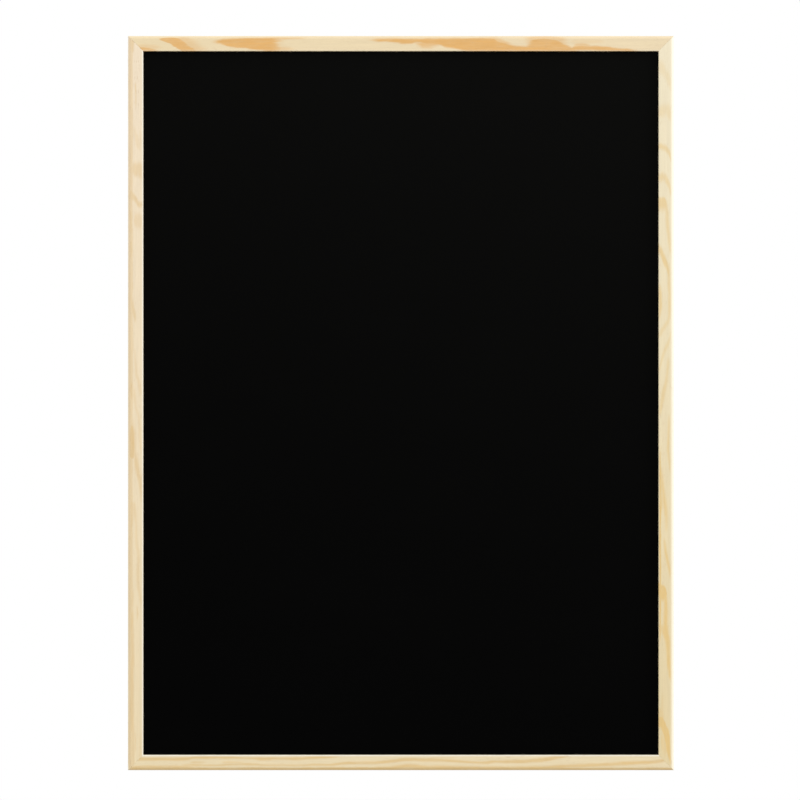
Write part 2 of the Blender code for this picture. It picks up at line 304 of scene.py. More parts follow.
def new_object(name, shape):
    """Turn a bmesh into an object whose faces point outwards."""
    bmesh.ops.remove_doubles(shape, verts=shape.verts, dist=SAME_PLACE)
    bmesh.ops.recalc_face_normals(shape, faces=shape.faces)
    mesh = bpy.data.meshes.new(name)
    shape.to_mesh(mesh)
    shape.free()
    made = bpy.data.objects.new(name, mesh)
    bpy.context.scene.collection.objects.link(made)
    return made


def keep_result(made):
    """Make what an object's modifiers give its mesh, and drop the modifiers."""
    bpy.context.view_layer.update()
    evaluated = made.evaluated_get(bpy.context.evaluated_depsgraph_get())
    result = bpy.data.meshes.new_from_object(evaluated)
    plain = made.data
    made.modifiers.clear()
    made.data = result
    bpy.data.meshes.remove(plain)
    result.name = made.name


def carve(made, cutters):
    """Cut shapes out of an object, then drop the cutters."""
    for cutter in cutters:
        modifier = made.modifiers.new("carve", "BOOLEAN")
        modifier.operation = "DIFFERENCE"
        modifier.solver = "EXACT"
        modifier.object = cutter
    keep_result(made)
    for cutter in cutters:
        bpy.data.objects.remove(cutter, do_unlink=True)


def shade(piece, sharp_angle):
    """Smooth shading that leaves flat faces flat and corners sharp."""
    piece.data.shade_smooth()
    piece.data.set_sharp_from_angle(angle=math.radians(sharp_angle))
    weighted = piece.modifiers.new("flat_faces", "WEIGHTED_NORMAL")
    weighted.mode = "FACE_AREA"
    weighted.weight = 100
    weighted.keep_sharp = True
    keep_result(piece)


def stand_for(piece, node, material, sharp_angle=35.0):
    """Finish a new piece and let it take a CAD node's place."""
    shade(piece, sharp_angle)
    piece.data.materials.clear()
    piece.data.materials.append(material)
    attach(piece, BODY)
    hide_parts(node)


def make_rail(rail, settings):
    """One grooved, rounded and mitred rail at its place in the frame."""
    shape = bmesh.new()
    corners = square_section(settings)
    section = [shape.verts.new((0.0, across, behind)) for across, behind in corners]
    end = shape.faces.new(section)
    grown = bmesh.ops.extrude_face_region(shape, geom=[end])
    bmesh.ops.translate(shape, verts=moved_verts(grown), vec=X_AXIS * rail.length)
    bmesh.ops.recalc_face_normals(shape, faces=shape.faces)
    round_long_edge(shape, 0.0, 0.0, settings.outer_round, OUTER_STEPS)
    round_long_edge(shape, RAIL_FACE, 0.0, settings.front_arris, FRONT_STEPS)
    round_long_edge(shape, RAIL_FACE, RAIL_DEPTH, settings.back_arris, BACK_STEPS)
    round_long_edge(shape, 0.0, RAIL_DEPTH, settings.back_arris, BACK_STEPS)
    setback = settings.mitre_gap / math.sqrt(2.0)
    ease = settings.mitre_ease
    cut_mitre(shape, X_AXIS * setback, Y_AXIS - X_AXIS, ease)
    cut_mitre(shape, X_AXIS * (rail.length - setback), Y_AXIS + X_AXIS, ease)
    place_in_frame(shape, rail.corner, rail.along, rail.across)
    return new_object(rail.name + "_pine", shape)


def wing_path(settings, grow):
    """Centre line of a corner nail: towards the panel, across the mitre."""
    half = settings.width / 2.0 - settings.strip
    wing = Vector((settings.bend, half)).normalized()
    apex = Vector((-settings.bend / 2.0, 0.0))
    tip = Vector((settings.bend / 2.0, half))
    radius = settings.curl
    inside = Vector((wing.y, -wing.x))
    centre = tip + inside * radius
    curl = []
    steps = 9
    turn = math.radians(215.0)
    for step in range(steps + 1):
        angle = turn * step / steps
        curl.append(
            centre - inside * radius * math.cos(angle) + wing * radius * math.sin(angle))
    if grow:
        curl.append(curl[-1] + (curl[-1] - curl[-2]).normalized() * grow)
    upper = [apex] + curl
    lower = [Vector((point.x, -point.y)) for point in reversed(upper[1:])]
    return lower + upper


def make_wing(name, node, settings, grow, out):
    """A V of strip steel with curled tips at its CAD node's place.

    grow widens it on each side and out lets it stand out of the back, as its slot does.
    """
    low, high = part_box(node)
    hand = 1.0 if low.x > FRAME_MIDDLE.x else -1.0
    level = 1.0 if low.z > FRAME_MIDDLE.z else -1.0
    edge_x = FRAME_RIGHT if hand > 0.0 else FRAME_LEFT
    edge_z = FRAME_TOP if level > 0.0 else FRAME_BOTTOM
    from_edge = edge_distance()
    middle = Vector((edge_x - hand * from_edge, low.y - grow, edge_z - level * from_edge))
    inward = Vector((-hand, 0.0, -level)).normalized()
    sideways = Vector((-hand, 0.0, level)).normalized()
    shape = bmesh.new()
    verts = []
    for forth, side in wing_path(settings, grow):
        verts.append(shape.verts.new(middle + inward * forth + sideways * side))
    edges = [shape.edges.new(pair) for pair in zip(verts, verts[1:])]
    grown = bmesh.ops.extrude_edge_only(shape, edges=edges)
    bmesh.ops.translate(
        shape, verts=moved_verts(grown), vec=Y_AXIS * (high.y - low.y + grow + out))
    made = new_object(name, shape)
    solid = made.modifiers.new("strip", "SOLIDIFY")
    solid.thickness = settings.strip + 2.0 * grow
    solid.offset = 0.0
    solid.use_even_offset = True
    if not grow:
        rounding = made.modifiers.new("edges", "BEVEL")
        rounding.width = 0.05 * MM
        rounding.segments = 2
        rounding.limit_method = "ANGLE"
        rounding.angle_limit = math.radians(50.0)
    keep_result(made)
    return made


def edge_distance():
    """From the frame's edges to the middle of a corner nail, half the solid wood."""
    return (RAIL_FACE - bpy.context.scene.chalkboard_rails.groove_depth) / 2.0


def sawtooth_edge(width, settings):
    """Lower edge of a hanger from left to right, x from its middle and z up."""
    flat = width - 2.0 * (settings.tab + settings.ramp)
    notches = max(1, int(flat / settings.tooth_pitch + 0.001))
    left = -notches * settings.tooth_pitch / 2.0
    half_land = settings.tooth_land / 2.0
    edge = []
    for notch in range(notches):
        start = left + notch * settings.tooth_pitch
        edge.append((start + half_land, 0.0))
        edge.append((start + settings.tooth_pitch / 2.0, settings.tooth_depth))
        edge.append((start + settings.tooth_pitch - half_land, 0.0))
    return edge


def bend_hanger(shape, middle, half_width, rise, settings):
    """Lift the plate's middle off its tabs, with rounded bends."""
    foot = half_width - settings.tab
    crest = foot - settings.ramp
    reach = 0.6 * MM
    cuts = 14
    for side in (-1.0, 1.0):
        for step in range(cuts + 1):
            out = crest - reach + (foot - crest + 2.0 * reach) * step / cuts
            bmesh.ops.bisect_plane(
                shape, geom=all_geometry(shape), dist=ON_PLANE,
                plane_co=(middle + side * out, 0.0, 0.0), plane_no=X_AXIS)
    for vertex in shape.verts:
        share = (foot + reach - abs(vertex.co.x - middle)) / (foot - crest + 2.0 * reach)
        share = min(max(share, 0.0), 1.0)
        vertex.co.y += rise * share * share * (3.0 - 2.0 * share)


def make_hanger(name, node, settings):
    """A stamped sawtooth hanger: rounded ends, notched lower edge, raised middle."""
    low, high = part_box(node)
    width = high.x - low.x
    half = width / 2.0
    middle = (low.x + high.x) / 2.0
    height = high.z - low.z
    rise = high.y - low.y - settings.plate
    outline = [(-half, 0.0)] + sawtooth_edge(width, settings)
    outline += [(half, 0.0), (half, height), (-half, height)]
    shape = bmesh.new()
    verts = [shape.verts.new((middle + x, low.y, low.z + z)) for x, z in outline]
    ends = [verts[0], verts[-3], verts[-2], verts[-1]]
    shape.faces.new(verts)
    round_off(shape, ends, settings.end_round, 6, "VERTICES")
    grown = bmesh.ops.extrude_face_region(shape, geom=list(shape.faces))
    bmesh.ops.translate(shape, verts=moved_verts(grown), vec=Y_AXIS * settings.plate)
    bmesh.ops.recalc_face_normals(shape, faces=shape.faces)
    edges = [edge for edge in shape.edges if edge.calc_face_angle(0.0) > math.radians(60.0)]
    rim = [edge for edge in edges if abs(edge.verts[0].co.y - edge.verts[1].co.y) < ON_PLANE]
    round_off(shape, rim, settings.stamped_edge, EDGE_STEPS)
    bend_hanger(shape, middle, half, rise, settings)
    made = new_object(name, shape)
    holes = []
    for side in (-1.0, 1.0):
        hole = bmesh.new()
        place = Vector((
            middle + side * (half - settings.tab / 2.0), 0.0, (low.z + high.z) / 2.0))
        bmesh.ops.create_cone(
            hole, cap_ends=True, segments=32, radius1=settings.nail_hole,
            radius2=settings.nail_hole, depth=8.0 * MM,
            matrix=Matrix.Translation(place) @ Matrix.Rotation(math.radians(90.0), 4, "X"))
        holes.append(new_object("hole", hole))
    carve(made, holes)
    return made


def make_hanger_nail(name, node, settings):
    """A round nail, turned about its axis, its domed head towards the wall."""
    low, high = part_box(node)
    axis = Vector(((low.x + high.x) / 2.0, 0.0, (low.z + high.z) / 2.0))
    head = (high.x - low.x) / 2.0
    seat = high.y - settings.nail_rim - settings.nail_dome
    soft = 0.08 * MM
    dome_steps = 7
    profile = []
    for step in range(dome_steps + 1):
        tilt = math.radians(90.0) * step / dome_steps
        drop = settings.nail_dome * (1.0 - math.cos(tilt))
        profile.append((head * math.sin(tilt), high.y - drop))
    profile += [
        (head, seat + soft),
        (head - soft, seat),
        (settings.nail_shank, seat),
        (settings.nail_shank, low.y + settings.nail_point),
        (0.0, low.y),
    ]
    shape = bmesh.new()
    verts = [shape.verts.new(axis + Vector((radius, y, 0.0))) for radius, y in profile]
    edges = [shape.edges.new(pair) for pair in zip(verts, verts[1:])]
    bmesh.ops.spin(
        shape, geom=verts + edges, cent=axis, axis=Y_AXIS, angle=math.radians(360.0),
        steps=40, use_merge=True)
    return new_object(name, shape)


# Finishes


class Finish:
    """A material's node tree, and the few kinds of node that the finishes are made of."""

    def __init__(self, name):
        self.material = bpy.data.materials.new(name)
        self.material.use_nodes = True
        self.tree = self.material.node_tree
        self.tree.nodes.clear()
        self.shader = self.node("ShaderNodeBsdfPrincipled")
        output = self.node("ShaderNodeOutputMaterial")
        self.tree.links.new(self.shader.outputs["BSDF"], output.inputs["Surface"])

    def node(self, kind):
        made = self.tree.nodes.new(kind)
        count = len(self.tree.nodes)
        made.location = ((count % 12) * 220.0, -(count // 12) * 300.0)
        return made

    def feed(self, socket, value):
        """Link a socket to another, or set its value."""
        if isinstance(value, bpy.types.NodeSocket):
            self.tree.links.new(value, socket)
        elif socket.type == "RGBA":
            socket.default_value = (*value, 1.0)
        else:
            socket.default_value = value

    def calc(self, operation, *values):
        made = self.node("ShaderNodeMath")
        made.operation = operation
        for socket, value in zip(made.inputs, values):
            self.feed(socket, value)
        return made.outputs["Value"]

    def vector_calc(self, operation, first, second):
        made = self.node("ShaderNodeVectorMath")
        made.operation = operation
        self.feed(made.inputs[0], first)
        if operation == "SCALE":
            self.feed(made.inputs["Scale"], second)
        else:
            self.feed(made.inputs[1], second)
        return made.outputs["Value" if operation == "DOT_PRODUCT" else "Vector"]

    def plus(self, first, second):
        return self.calc("ADD", first, second)

    def minus(self, first, second):
        return self.calc("SUBTRACT", first, second)

    def times(self, first, second):
        return self.calc("MULTIPLY", first, second)

    def ramp(self, value, low, high, to_low=0.0, to_high=1.0, kind="SMOOTHSTEP", clamp=True):
        """A soft step from to_low to to_high while the value goes from low to high."""
        made = self.node("ShaderNodeMapRange")
        made.interpolation_type = kind
        made.clamp = clamp
        for name, given in (
                ("Value", value), ("From Min", low), ("From Max", high),
                ("To Min", to_low), ("To Max", to_high)):
            self.feed(made.inputs[name], given)
        return made.outputs["Result"]

    def span(self, value, low, high, to_low=0.0, to_high=1.0):
        """The same as a straight line."""
        return self.ramp(value, low, high, to_low, to_high, "LINEAR")

    def noise(self, place, sizes, detail=2.0, roughness=0.5):
        """Noise whose features measure about sizes, in the units of place."""
        scaled = self.vector_calc("MULTIPLY", place, tuple(1.0 / size for size in sizes))
        made = self.node("ShaderNodeTexNoise")
        self.feed(made.inputs["Vector"], scaled)
        made.inputs["Scale"].default_value = 1.0
        made.inputs["Detail"].default_value = detail
        made.inputs["Roughness"].default_value = roughness
        return made.outputs["Fac"]

    def curve(self, value, points):
        """A smooth curve through points, for a value from 0 to 1."""
        made = self.node("ShaderNodeFloatCurve")
        mapping = made.mapping
        mapping.use_clip = False
        line = mapping.curves[0]
        for spare in range(len(points) - len(line.points)):
            line.points.new(0.5 + 0.001 * spare, 0.0)
        for point, place in zip(line.points, points):
            point.location = place
        mapping.update()
        self.feed(made.inputs["Value"], value)
        return made.outputs["Value"]

    def mix(self, kind, sockets, share, first, second):
        """Mix two values; the node has its own sockets for each kind of value."""
        made = self.node("ShaderNodeMix")
        made.data_type = kind
        into_first, into_second, out = sockets
        self.feed(made.inputs[0], share)
        self.feed(made.inputs[into_first], first)
        self.feed(made.inputs[into_second], second)
        return made.outputs[out]

    def blend(self, share, first, second):
        return self.mix("RGBA", (6, 7, 2), share, first, second)

    def blend_values(self, share, first, second):
        return self.mix("FLOAT", (2, 3, 0), share, first, second)

    def position(self):
        return self.node("ShaderNodeTexCoord").outputs["Object"]

    def bump(self, height, distance, strength):
        made = self.node("ShaderNodeBump")
        made.inputs["Distance"].default_value = distance
        made.inputs["Strength"].default_value = strength
        self.feed(made.inputs["Height"], height)
        self.feed(self.shader.inputs["Normal"], made.outputs["Normal"])

    def set(self, **values):
        """Set the shader's own sockets, named with underscores for spaces."""
        for name, value in values.items():
            self.feed(self.shader.inputs[name.replace("_", " ")], value)


# A streak of latewood.  Its path is a list of (run, place, reach) in millimetres: run
# is along the rail, place is across it, and the colour is down to half reach from
# there.  A crossways streak runs across the rail, and its place and reach are along
# it.  The edge away from the rail's outer corner is as soft as fade, the other one as
# upper, and start and end are how long the colour takes to come up and to die away.
# A rail with many more than 27 streaks renders pure black, without any message.
Streak = namedtuple(
    "Streak", "strength fade path crossways upper start end",
    defaults=(False, 0.0, 0.0, 0.0))

# Millimetres by which the fibres fray a streak's edge, across the rail and along it,
# and how much of the second counts for a crossways streak
FEATHER = 0.4
FRAY = 4.0
CROSS_FRAY = 0.3

# How much softer a streak's edge is than its fade, as the coat spreads the colour
SOFTNESS = 1.4

TOP_STREAKS = (
    Streak(0.85, 1.8, (
        (8, 15.4, 0), (13, 15.2, 2.8), (20, 15.6, 2.8), (28, 16.2, 1.8), (38, 17.0, 0)),
        end=12.0),
    Streak(0.3, 2.6, ((8, 11.6, 0), (16, 11.8, 2.2), (28, 12.2, 2.0), (40, 13.5, 0)),
           end=12.0),
    Streak(0.9, 4.6, (
        (2.2, 44, 0), (3.2, 44.5, 9.5), (4.4, 46, 11.5), (6, 48.5, 11), (7.2, 51, 10.5),
        (8.5, 53.8, 9.3), (11, 57.1, 8.7), (13, 60.1, 8.8), (15.5, 64.2, 8.2), (18.5, 68, 6)),
        True, 2.6),
    Streak(0.42, 12.0, (
        (1.6, 58, 0), (4, 60, 9), (8, 64, 9), (12, 68, 10), (16, 72, 10), (18.5, 74, 8)),
        True, 4.0),
    Streak(1.0, 2.0, (
        (88, 6.8, 0), (93, 6.8, 1.8), (97, 6.7, 2.1), (101, 6.8, 3.0), (105, 7.4, 3.9),
        (112, 7.9, 4.6), (118, 8.2, 4.9), (125, 8.3, 5.3), (130, 8.8, 5.8), (143, 9.2, 6.5),
        (150, 10.0, 7.5), (170, 10.0, 7.5)), start=12.0, end=18.0),
    Streak(-0.7, 7.0, (
        (3.4, 178, 0), (6, 173, 10), (9.5, 171, 13), (12.5, 175, 11), (15.5, 180, 0)), True),
    Streak(0.4, 3.0, ((148, 14, 0), (160, 14, 2.4), (170, 14.4, 2.0), (182, 15, 0)), end=14.0),
    Streak(0.55, 1.2, ((148, 2.9, 0), (158, 3.0, 0.9), (176, 3.1, 0.8), (198, 3.2, 0)),
           end=20.0),
    Streak(1.0, 2.2, (
        (250, 4.6, 0), (260, 4.7, 0.9), (266, 4.9, 1.2), (272, 5.0, 1.4), (280, 5.2, 1.7),
        (288, 5.7, 2.3), (295, 6.2, 2.7), (302, 6.1, 2.6), (308, 5.5, 2.0), (313, 5.8, 2.4),
        (322, 6.4, 3.3), (329, 6.5, 3.4), (337, 7.9, 4.6), (345, 8.3, 5.1), (352, 9.0, 5.8),
        (362, 9.8, 6.6), (384, 9.9, 7.1), (391, 11.0, 6.2), (396, 12.0, 5.2), (400, 12.6, 4.8),
        (405, 13.4, 3.9), (412, 14.2, 3.2), (420, 14.6, 2.9), (440, 15.0, 2.4),
        (466, 15.6, 1.8), (476, 16.0, 0)), start=20.0),
    Streak(0.75, 3.8, (
        (304, 8.6, 0), (311, 9.4, 2.4), (318, 9.9, 3.2), (325, 9.4, 2.4), (334, 9.4, 0)),
        start=8.0),
    Streak(0.6, 3.0, (
        (378, 4.0, 0), (386, 4.4, 2.2), (394, 5.8, 2.4), (402, 8.2, 1.8), (412, 9.8, 0)),
        end=10.0),
    Streak(0.92, 6.0, (
        (2.6, 441, 0), (4.2, 441, 9), (5.2, 442, 14), (6.4, 443, 16), (8, 444, 17.5),
        (10, 445.5, 19.5), (12.5, 446, 25), (15.5, 446, 32), (18.5, 446, 34)), True, 6.0),
    Streak(0.45, 8.0, (
        (0.4, 441, 0), (1.8, 442, 16), (4, 444, 20), (7, 445, 20), (10, 446, 16),
        (13, 446, 0)), True),
    Streak(0.92, 1.8, (
        (466, 15.2, 0), (472, 14.4, 1.9), (478, 13.6, 2.4), (484, 13.5, 2.5), (490, 13.6, 2.4),
        (500, 13.9, 2.4), (510, 14.3, 2.2), (516, 14.9, 1.9), (526, 15.5, 1.7),
        (538, 16.4, 1.3), (548, 17, 0)), end=16.0),
    Streak(0.55, 2.6, ((472, 10.4, 0), (480, 10.0, 1.8), (486, 10.4, 1.8), (494, 11.2, 0)),
           start=4.0, end=6.0),
    Streak(0.2, 2.6, ((466, 6, 0), (480, 6.4, 1.8), (496, 6.4, 1.8), (510, 7, 0)),
           start=8.0, end=10.0),
)

BOTTOM_STREAKS = (
    Streak(0.82, 2.0, (
        (4, 12.2, 0), (12, 12.2, 1.5), (40, 12.3, 1.6), (60, 12.5, 1.6), (68, 13.4, 1.4),
        (76, 14.1, 1.4), (90, 14.1, 1.5), (104, 13.9, 1.6), (114, 13.7, 1.2), (128, 13.3, 1.0),
        (138, 12.9, 1.3), (146, 12.6, 1.6), (154, 12.8, 1.3), (164, 12.9, 1.2),
        (178, 12.9, 1.5), (190, 13.7, 1.7), (204, 14.2, 1.6), (216, 14.7, 1.2),
        (232, 15.0, 0)), start=4.0, end=14.0),
    Streak(0.75, 2.0, (
        (0, 3.2, 0), (10, 3.6, 1.6), (40, 3.9, 1.6), (52, 3.8, 1.6), (64, 3.4, 1.2),
        (100, 3.2, 0)), end=34.0),
    Streak(0.66, 1.6, (
        (54, 5.2, 0), (66, 5.8, 1.2), (80, 5.8, 0.9), (95, 5.6, 0.8), (105, 6.5, 1.1),
        (118, 6.7, 1.1), (135, 6.5, 1.2), (152, 5.8, 0.9), (170, 5.8, 1.0), (188, 5.8, 1.0),
        (200, 6.2, 1.3), (215, 6.2, 1.2), (232, 6.6, 0)), end=14.0),
    Streak(0.5, 1.8, ((64, 8.6, 0), (74, 8.8, 1.3), (86, 9.0, 0)), start=6.0, end=8.0),
    Streak(0.5, 1.8, ((96, 8.4, 0), (106, 8.6, 1.3), (118, 8.6, 1.1), (130, 9.0, 0)),
           start=6.0, end=10.0),
    Streak(0.4, 1.4, (
        (94, 3.0, 0), (108, 3.1, 0.9), (124, 3.0, 0.7), (190, 3.0, 0.4), (210, 3, 0)),
        start=8.0, end=20.0),
    Streak(0.8, 1.9, (
        (208, 6.4, 0), (224, 7.2, 1.1), (232, 7.9, 1.3), (255, 8.2, 1.3), (266, 8.8, 1.4),
        (276, 9.8, 1.5), (286, 10.9, 1.6), (294, 11.9, 1.7), (300, 12.2, 1.7), (308, 11.8, 1.5),
        (314, 11.5, 1.5), (324, 11.5, 1.7), (334, 11.2, 1.5), (346, 10.4, 1.3), (358, 9.7, 1.2),
        (370, 8.7, 1.3), (376, 8.5, 1.3), (384, 9.1, 1.4), (394, 9.6, 1.6), (412, 9.7, 1.7),
        (422, 10.0, 1.7), (432, 10.9, 1.8), (440, 11.4, 2.0), (447, 12.4, 2.1),
        (452, 13.4, 2.1), (460, 14.6, 1.5), (474, 15.4, 0)), start=12.0, end=10.0),
    Streak(0.35, 1.4, ((316, 13.2, 0), (328, 13.4, 0.8), (342, 13.4, 0.7), (354, 13.6, 0)),
           start=6.0, end=8.0),
    Streak(0.86, 2.4, (
        (256, 2.6, 0), (270, 2.9, 1.3), (284, 3.4, 1.8), (293, 4.2, 2.2), (300, 4.7, 2.3),
        (307, 4.2, 2.1), (314, 3.5, 1.9), (330, 3.2, 2.1), (345, 3.0, 2.0), (365, 2.7, 1.8),
        (390, 2.6, 1.8), (420, 2.8, 1.7), (440, 3.2, 1.7), (455, 4.1, 1.8), (470, 4.9, 1.8),
        (485, 5.5, 1.8), (500, 6.0, 1.8), (510, 6.6, 1.8), (520, 7.3, 1.8), (530, 7.9, 1.8),
        (545, 8.5, 1.8), (555, 9.1, 1.7), (563, 10.0, 1.6), (570, 11.2, 1.3), (577, 12.4, 0))),
    Streak(0.35, 1.4, ((474, 2.8, 0), (490, 2.9, 0.8), (512, 2.9, 0.7), (526, 3.0, 0)),
           start=8.0, end=8.0),
    Streak(0.35, 1.2, ((538, 3.2, 0), (550, 3.5, 0.7), (564, 3.6, 0)), start=5.0, end=6.0),
    # Painted shade: this streak darkens the whole outer round of the bottom rail, which faces
    # down, away from the light.
    Streak(1.0, 1.8, (
        (0, 1.0, 0), (8, 1.0, 2.0), (195, 1.0, 2.0), (215, 1.1, 2.3), (280, 1.1, 2.3),
        (300, 1.0, 1.9), (505, 1.0, 1.9), (525, 1.0, 1.6), (540, 1.0, 1.6), (556, 1.0, 1.9),
        (572, 1.0, 1.9), (580, 1.0, 0))),
)

LEFT_STREAKS = (
    Streak(0.48, 0.7, (
        (0, 3.2, 0), (8, 3.2, 2.3), (300, 3.3, 2.3), (560, 3.2, 2.2), (640, 3.6, 2.6),
        (700, 3.8, 2.8), (770, 4.0, 3.4), (780, 4.0, 0))),
    Streak(0.72, 2.4, ((0, 4.4, 0), (7, 5.0, 2.0), (13, 5.0, 1.8), (24, 4.0, 0)), end=8.0),
    Streak(0.7, 0.8, ((0, 3.0, 0), (8, 3.0, 0.5), (20, 3.0, 0.3), (28, 3.0, 0)), end=6.0),
    Streak(0.55, 0.7, ((46, 8.3, 0), (58, 8.5, 0.5), (70, 8.9, 0.5), (82, 9.0, 0)),
           start=8.0, end=8.0),
    Streak(0.5, 0.7, ((732, 8.4, 0), (742, 8.5, 0.5), (756, 8.6, 0.5), (764, 8.6, 0)),
           start=8.0, end=6.0),
    Streak(0.3, 2.4, (
        (92, 7.4, 0), (99, 7.6, 0.9), (107, 9.4, 2.2), (114, 11.0, 2.6), (124, 13, 0)),
        start=5.0, end=6.0),
    Streak(0.35, 1.6, ((97, 13.6, 0), (108, 13.6, 0.9), (124, 13.6, 0)), start=5.0, end=8.0),
    Streak(0.55, 5.0, (
        (1.0, 143, 0), (3, 143, 5), (6, 142, 6), (9, 142, 7), (12, 142.5, 7.5), (15, 144, 8),
        (18.5, 146, 7)), True),
    Streak(0.65, 3.6, (
        (1.0, 170, 0), (3, 170, 6), (5.5, 171, 5), (8, 173, 3.5), (10.5, 177, 3.2),
        (13, 180, 3), (16.5, 178.5, 3), (18.5, 178, 2)), True),
    Streak(0.66, 1.9, (
        (184, 3.4, 0), (192, 3.3, 1.4), (203, 3.6, 1.6), (210, 3.7, 1.0), (214, 3.6, 0.4),
        (220, 3.6, 1.6), (232, 3.7, 1.9), (238, 3.8, 0)), start=4.0, end=3.0),
    Streak(0.4, 5.0, ((6.4, 196, 0), (9.5, 196, 7.5), (13, 197, 8), (16.0, 197, 0)), True),
    Streak(0.6, 2.0, (
        (269, 3.8, 0), (276, 3.8, 1.5), (284, 4.4, 1.8), (292, 6.2, 1.8), (300, 7.8, 1.4),
        (310, 8.6, 0)), start=3.0, end=12.0),
    Streak(0.55, 2.2, ((308, 4.2, 0), (317, 4.2, 1.6), (331, 4.4, 1.5), (344, 4.5, 0)),
           start=5.0, end=8.0),
    Streak(0.4, 1.8, (
        (330, 7.8, 0), (342, 8.2, 0.8), (352, 9.2, 1.0), (360, 9.8, 1.1), (366, 11.4, 1.5),
        (374, 13, 1.5), (386, 14.2, 0)), start=6.0, end=8.0),
    Streak(0.75, 1.6, ((365, 4.0, 0), (370, 4.1, 1.4), (381, 4.2, 1.5), (389, 4.4, 0)),
           start=3.0, end=5.0),
    Streak(0.38, 2.0, (
        (372, 7.0, 0), (382, 7.4, 1.4), (390, 7.9, 1.3), (397, 9.6, 1.2), (405, 11.9, 1.2),
        (412, 12.8, 1.2), (422, 13.1, 1.3), (432, 14.0, 1.2), (448, 14.6, 0)),
        start=6.0, end=8.0),
    Streak(0.45, 3.0, (
        (402, 4.6, 0), (410, 4.6, 1.8), (424, 6.4, 2.6), (440, 7.0, 2.4), (450, 7, 0)),
        start=5.0, end=4.0),
    Streak(0.95, 2.2, (
        (412, 4.4, 0), (418, 4.6, 2.2), (426, 4.9, 2.7), (436, 5.0, 2.8), (445, 4.8, 2.8),
        (450, 4.8, 0)), start=6.0, end=3.0),
    Streak(0.7, 2.8, (
        (436, 8, 0), (446, 8.6, 1.4), (454, 9.6, 2.0), (462, 10.8, 2.2), (469, 12.6, 2.1),
        (478, 14.2, 1.8), (488, 15, 1.4), (500, 15.6, 0)), start=5.0, end=8.0),
    Streak(0.7, 1.8, (
        (492, 4.2, 0), (497, 4.3, 1.6), (508, 4.4, 1.6), (524, 4.0, 1.0), (538, 3.8, 0)),
        start=3.0, end=12.0),
    Streak(0.5, 2.2, (
        (493, 6.8, 0), (500, 7.2, 1.6), (510, 8.0, 1.5), (520, 9.0, 1.0), (536, 9.5, 1.0),
        (544, 10.4, 1.2), (553, 11.6, 1.3), (566, 11.2, 1.5), (580, 11.3, 1.6),
        (590, 12.8, 1.6), (600, 14.2, 1.2), (610, 14.6, 0)), start=4.0, end=8.0),
    Streak(0.6, 1.6, ((582, 4.8, 0), (594, 5.0, 1.2), (603, 5.0, 1.3), (610, 5, 0)),
           start=8.0, end=4.0),
    Streak(0.75, 2.0, (
        (598, 4.4, 0), (612, 4.4, 1.4), (640, 4.8, 1.6), (655, 5.2, 1.8), (670, 4.6, 1.9),
        (730, 4.5, 1.9), (752, 4.8, 0)), start=16.0, end=20.0),
    Streak(0.55, 1.2, ((602, 10.2, 0), (611, 10.3, 0.8), (622, 10.4, 0)), start=4.0, end=5.0),
    Streak(0.3, 2.2, ((736, 14, 0), (748, 13.8, 1.2), (768, 13.6, 1.4), (778, 13, 0)),
           start=8.0),
)

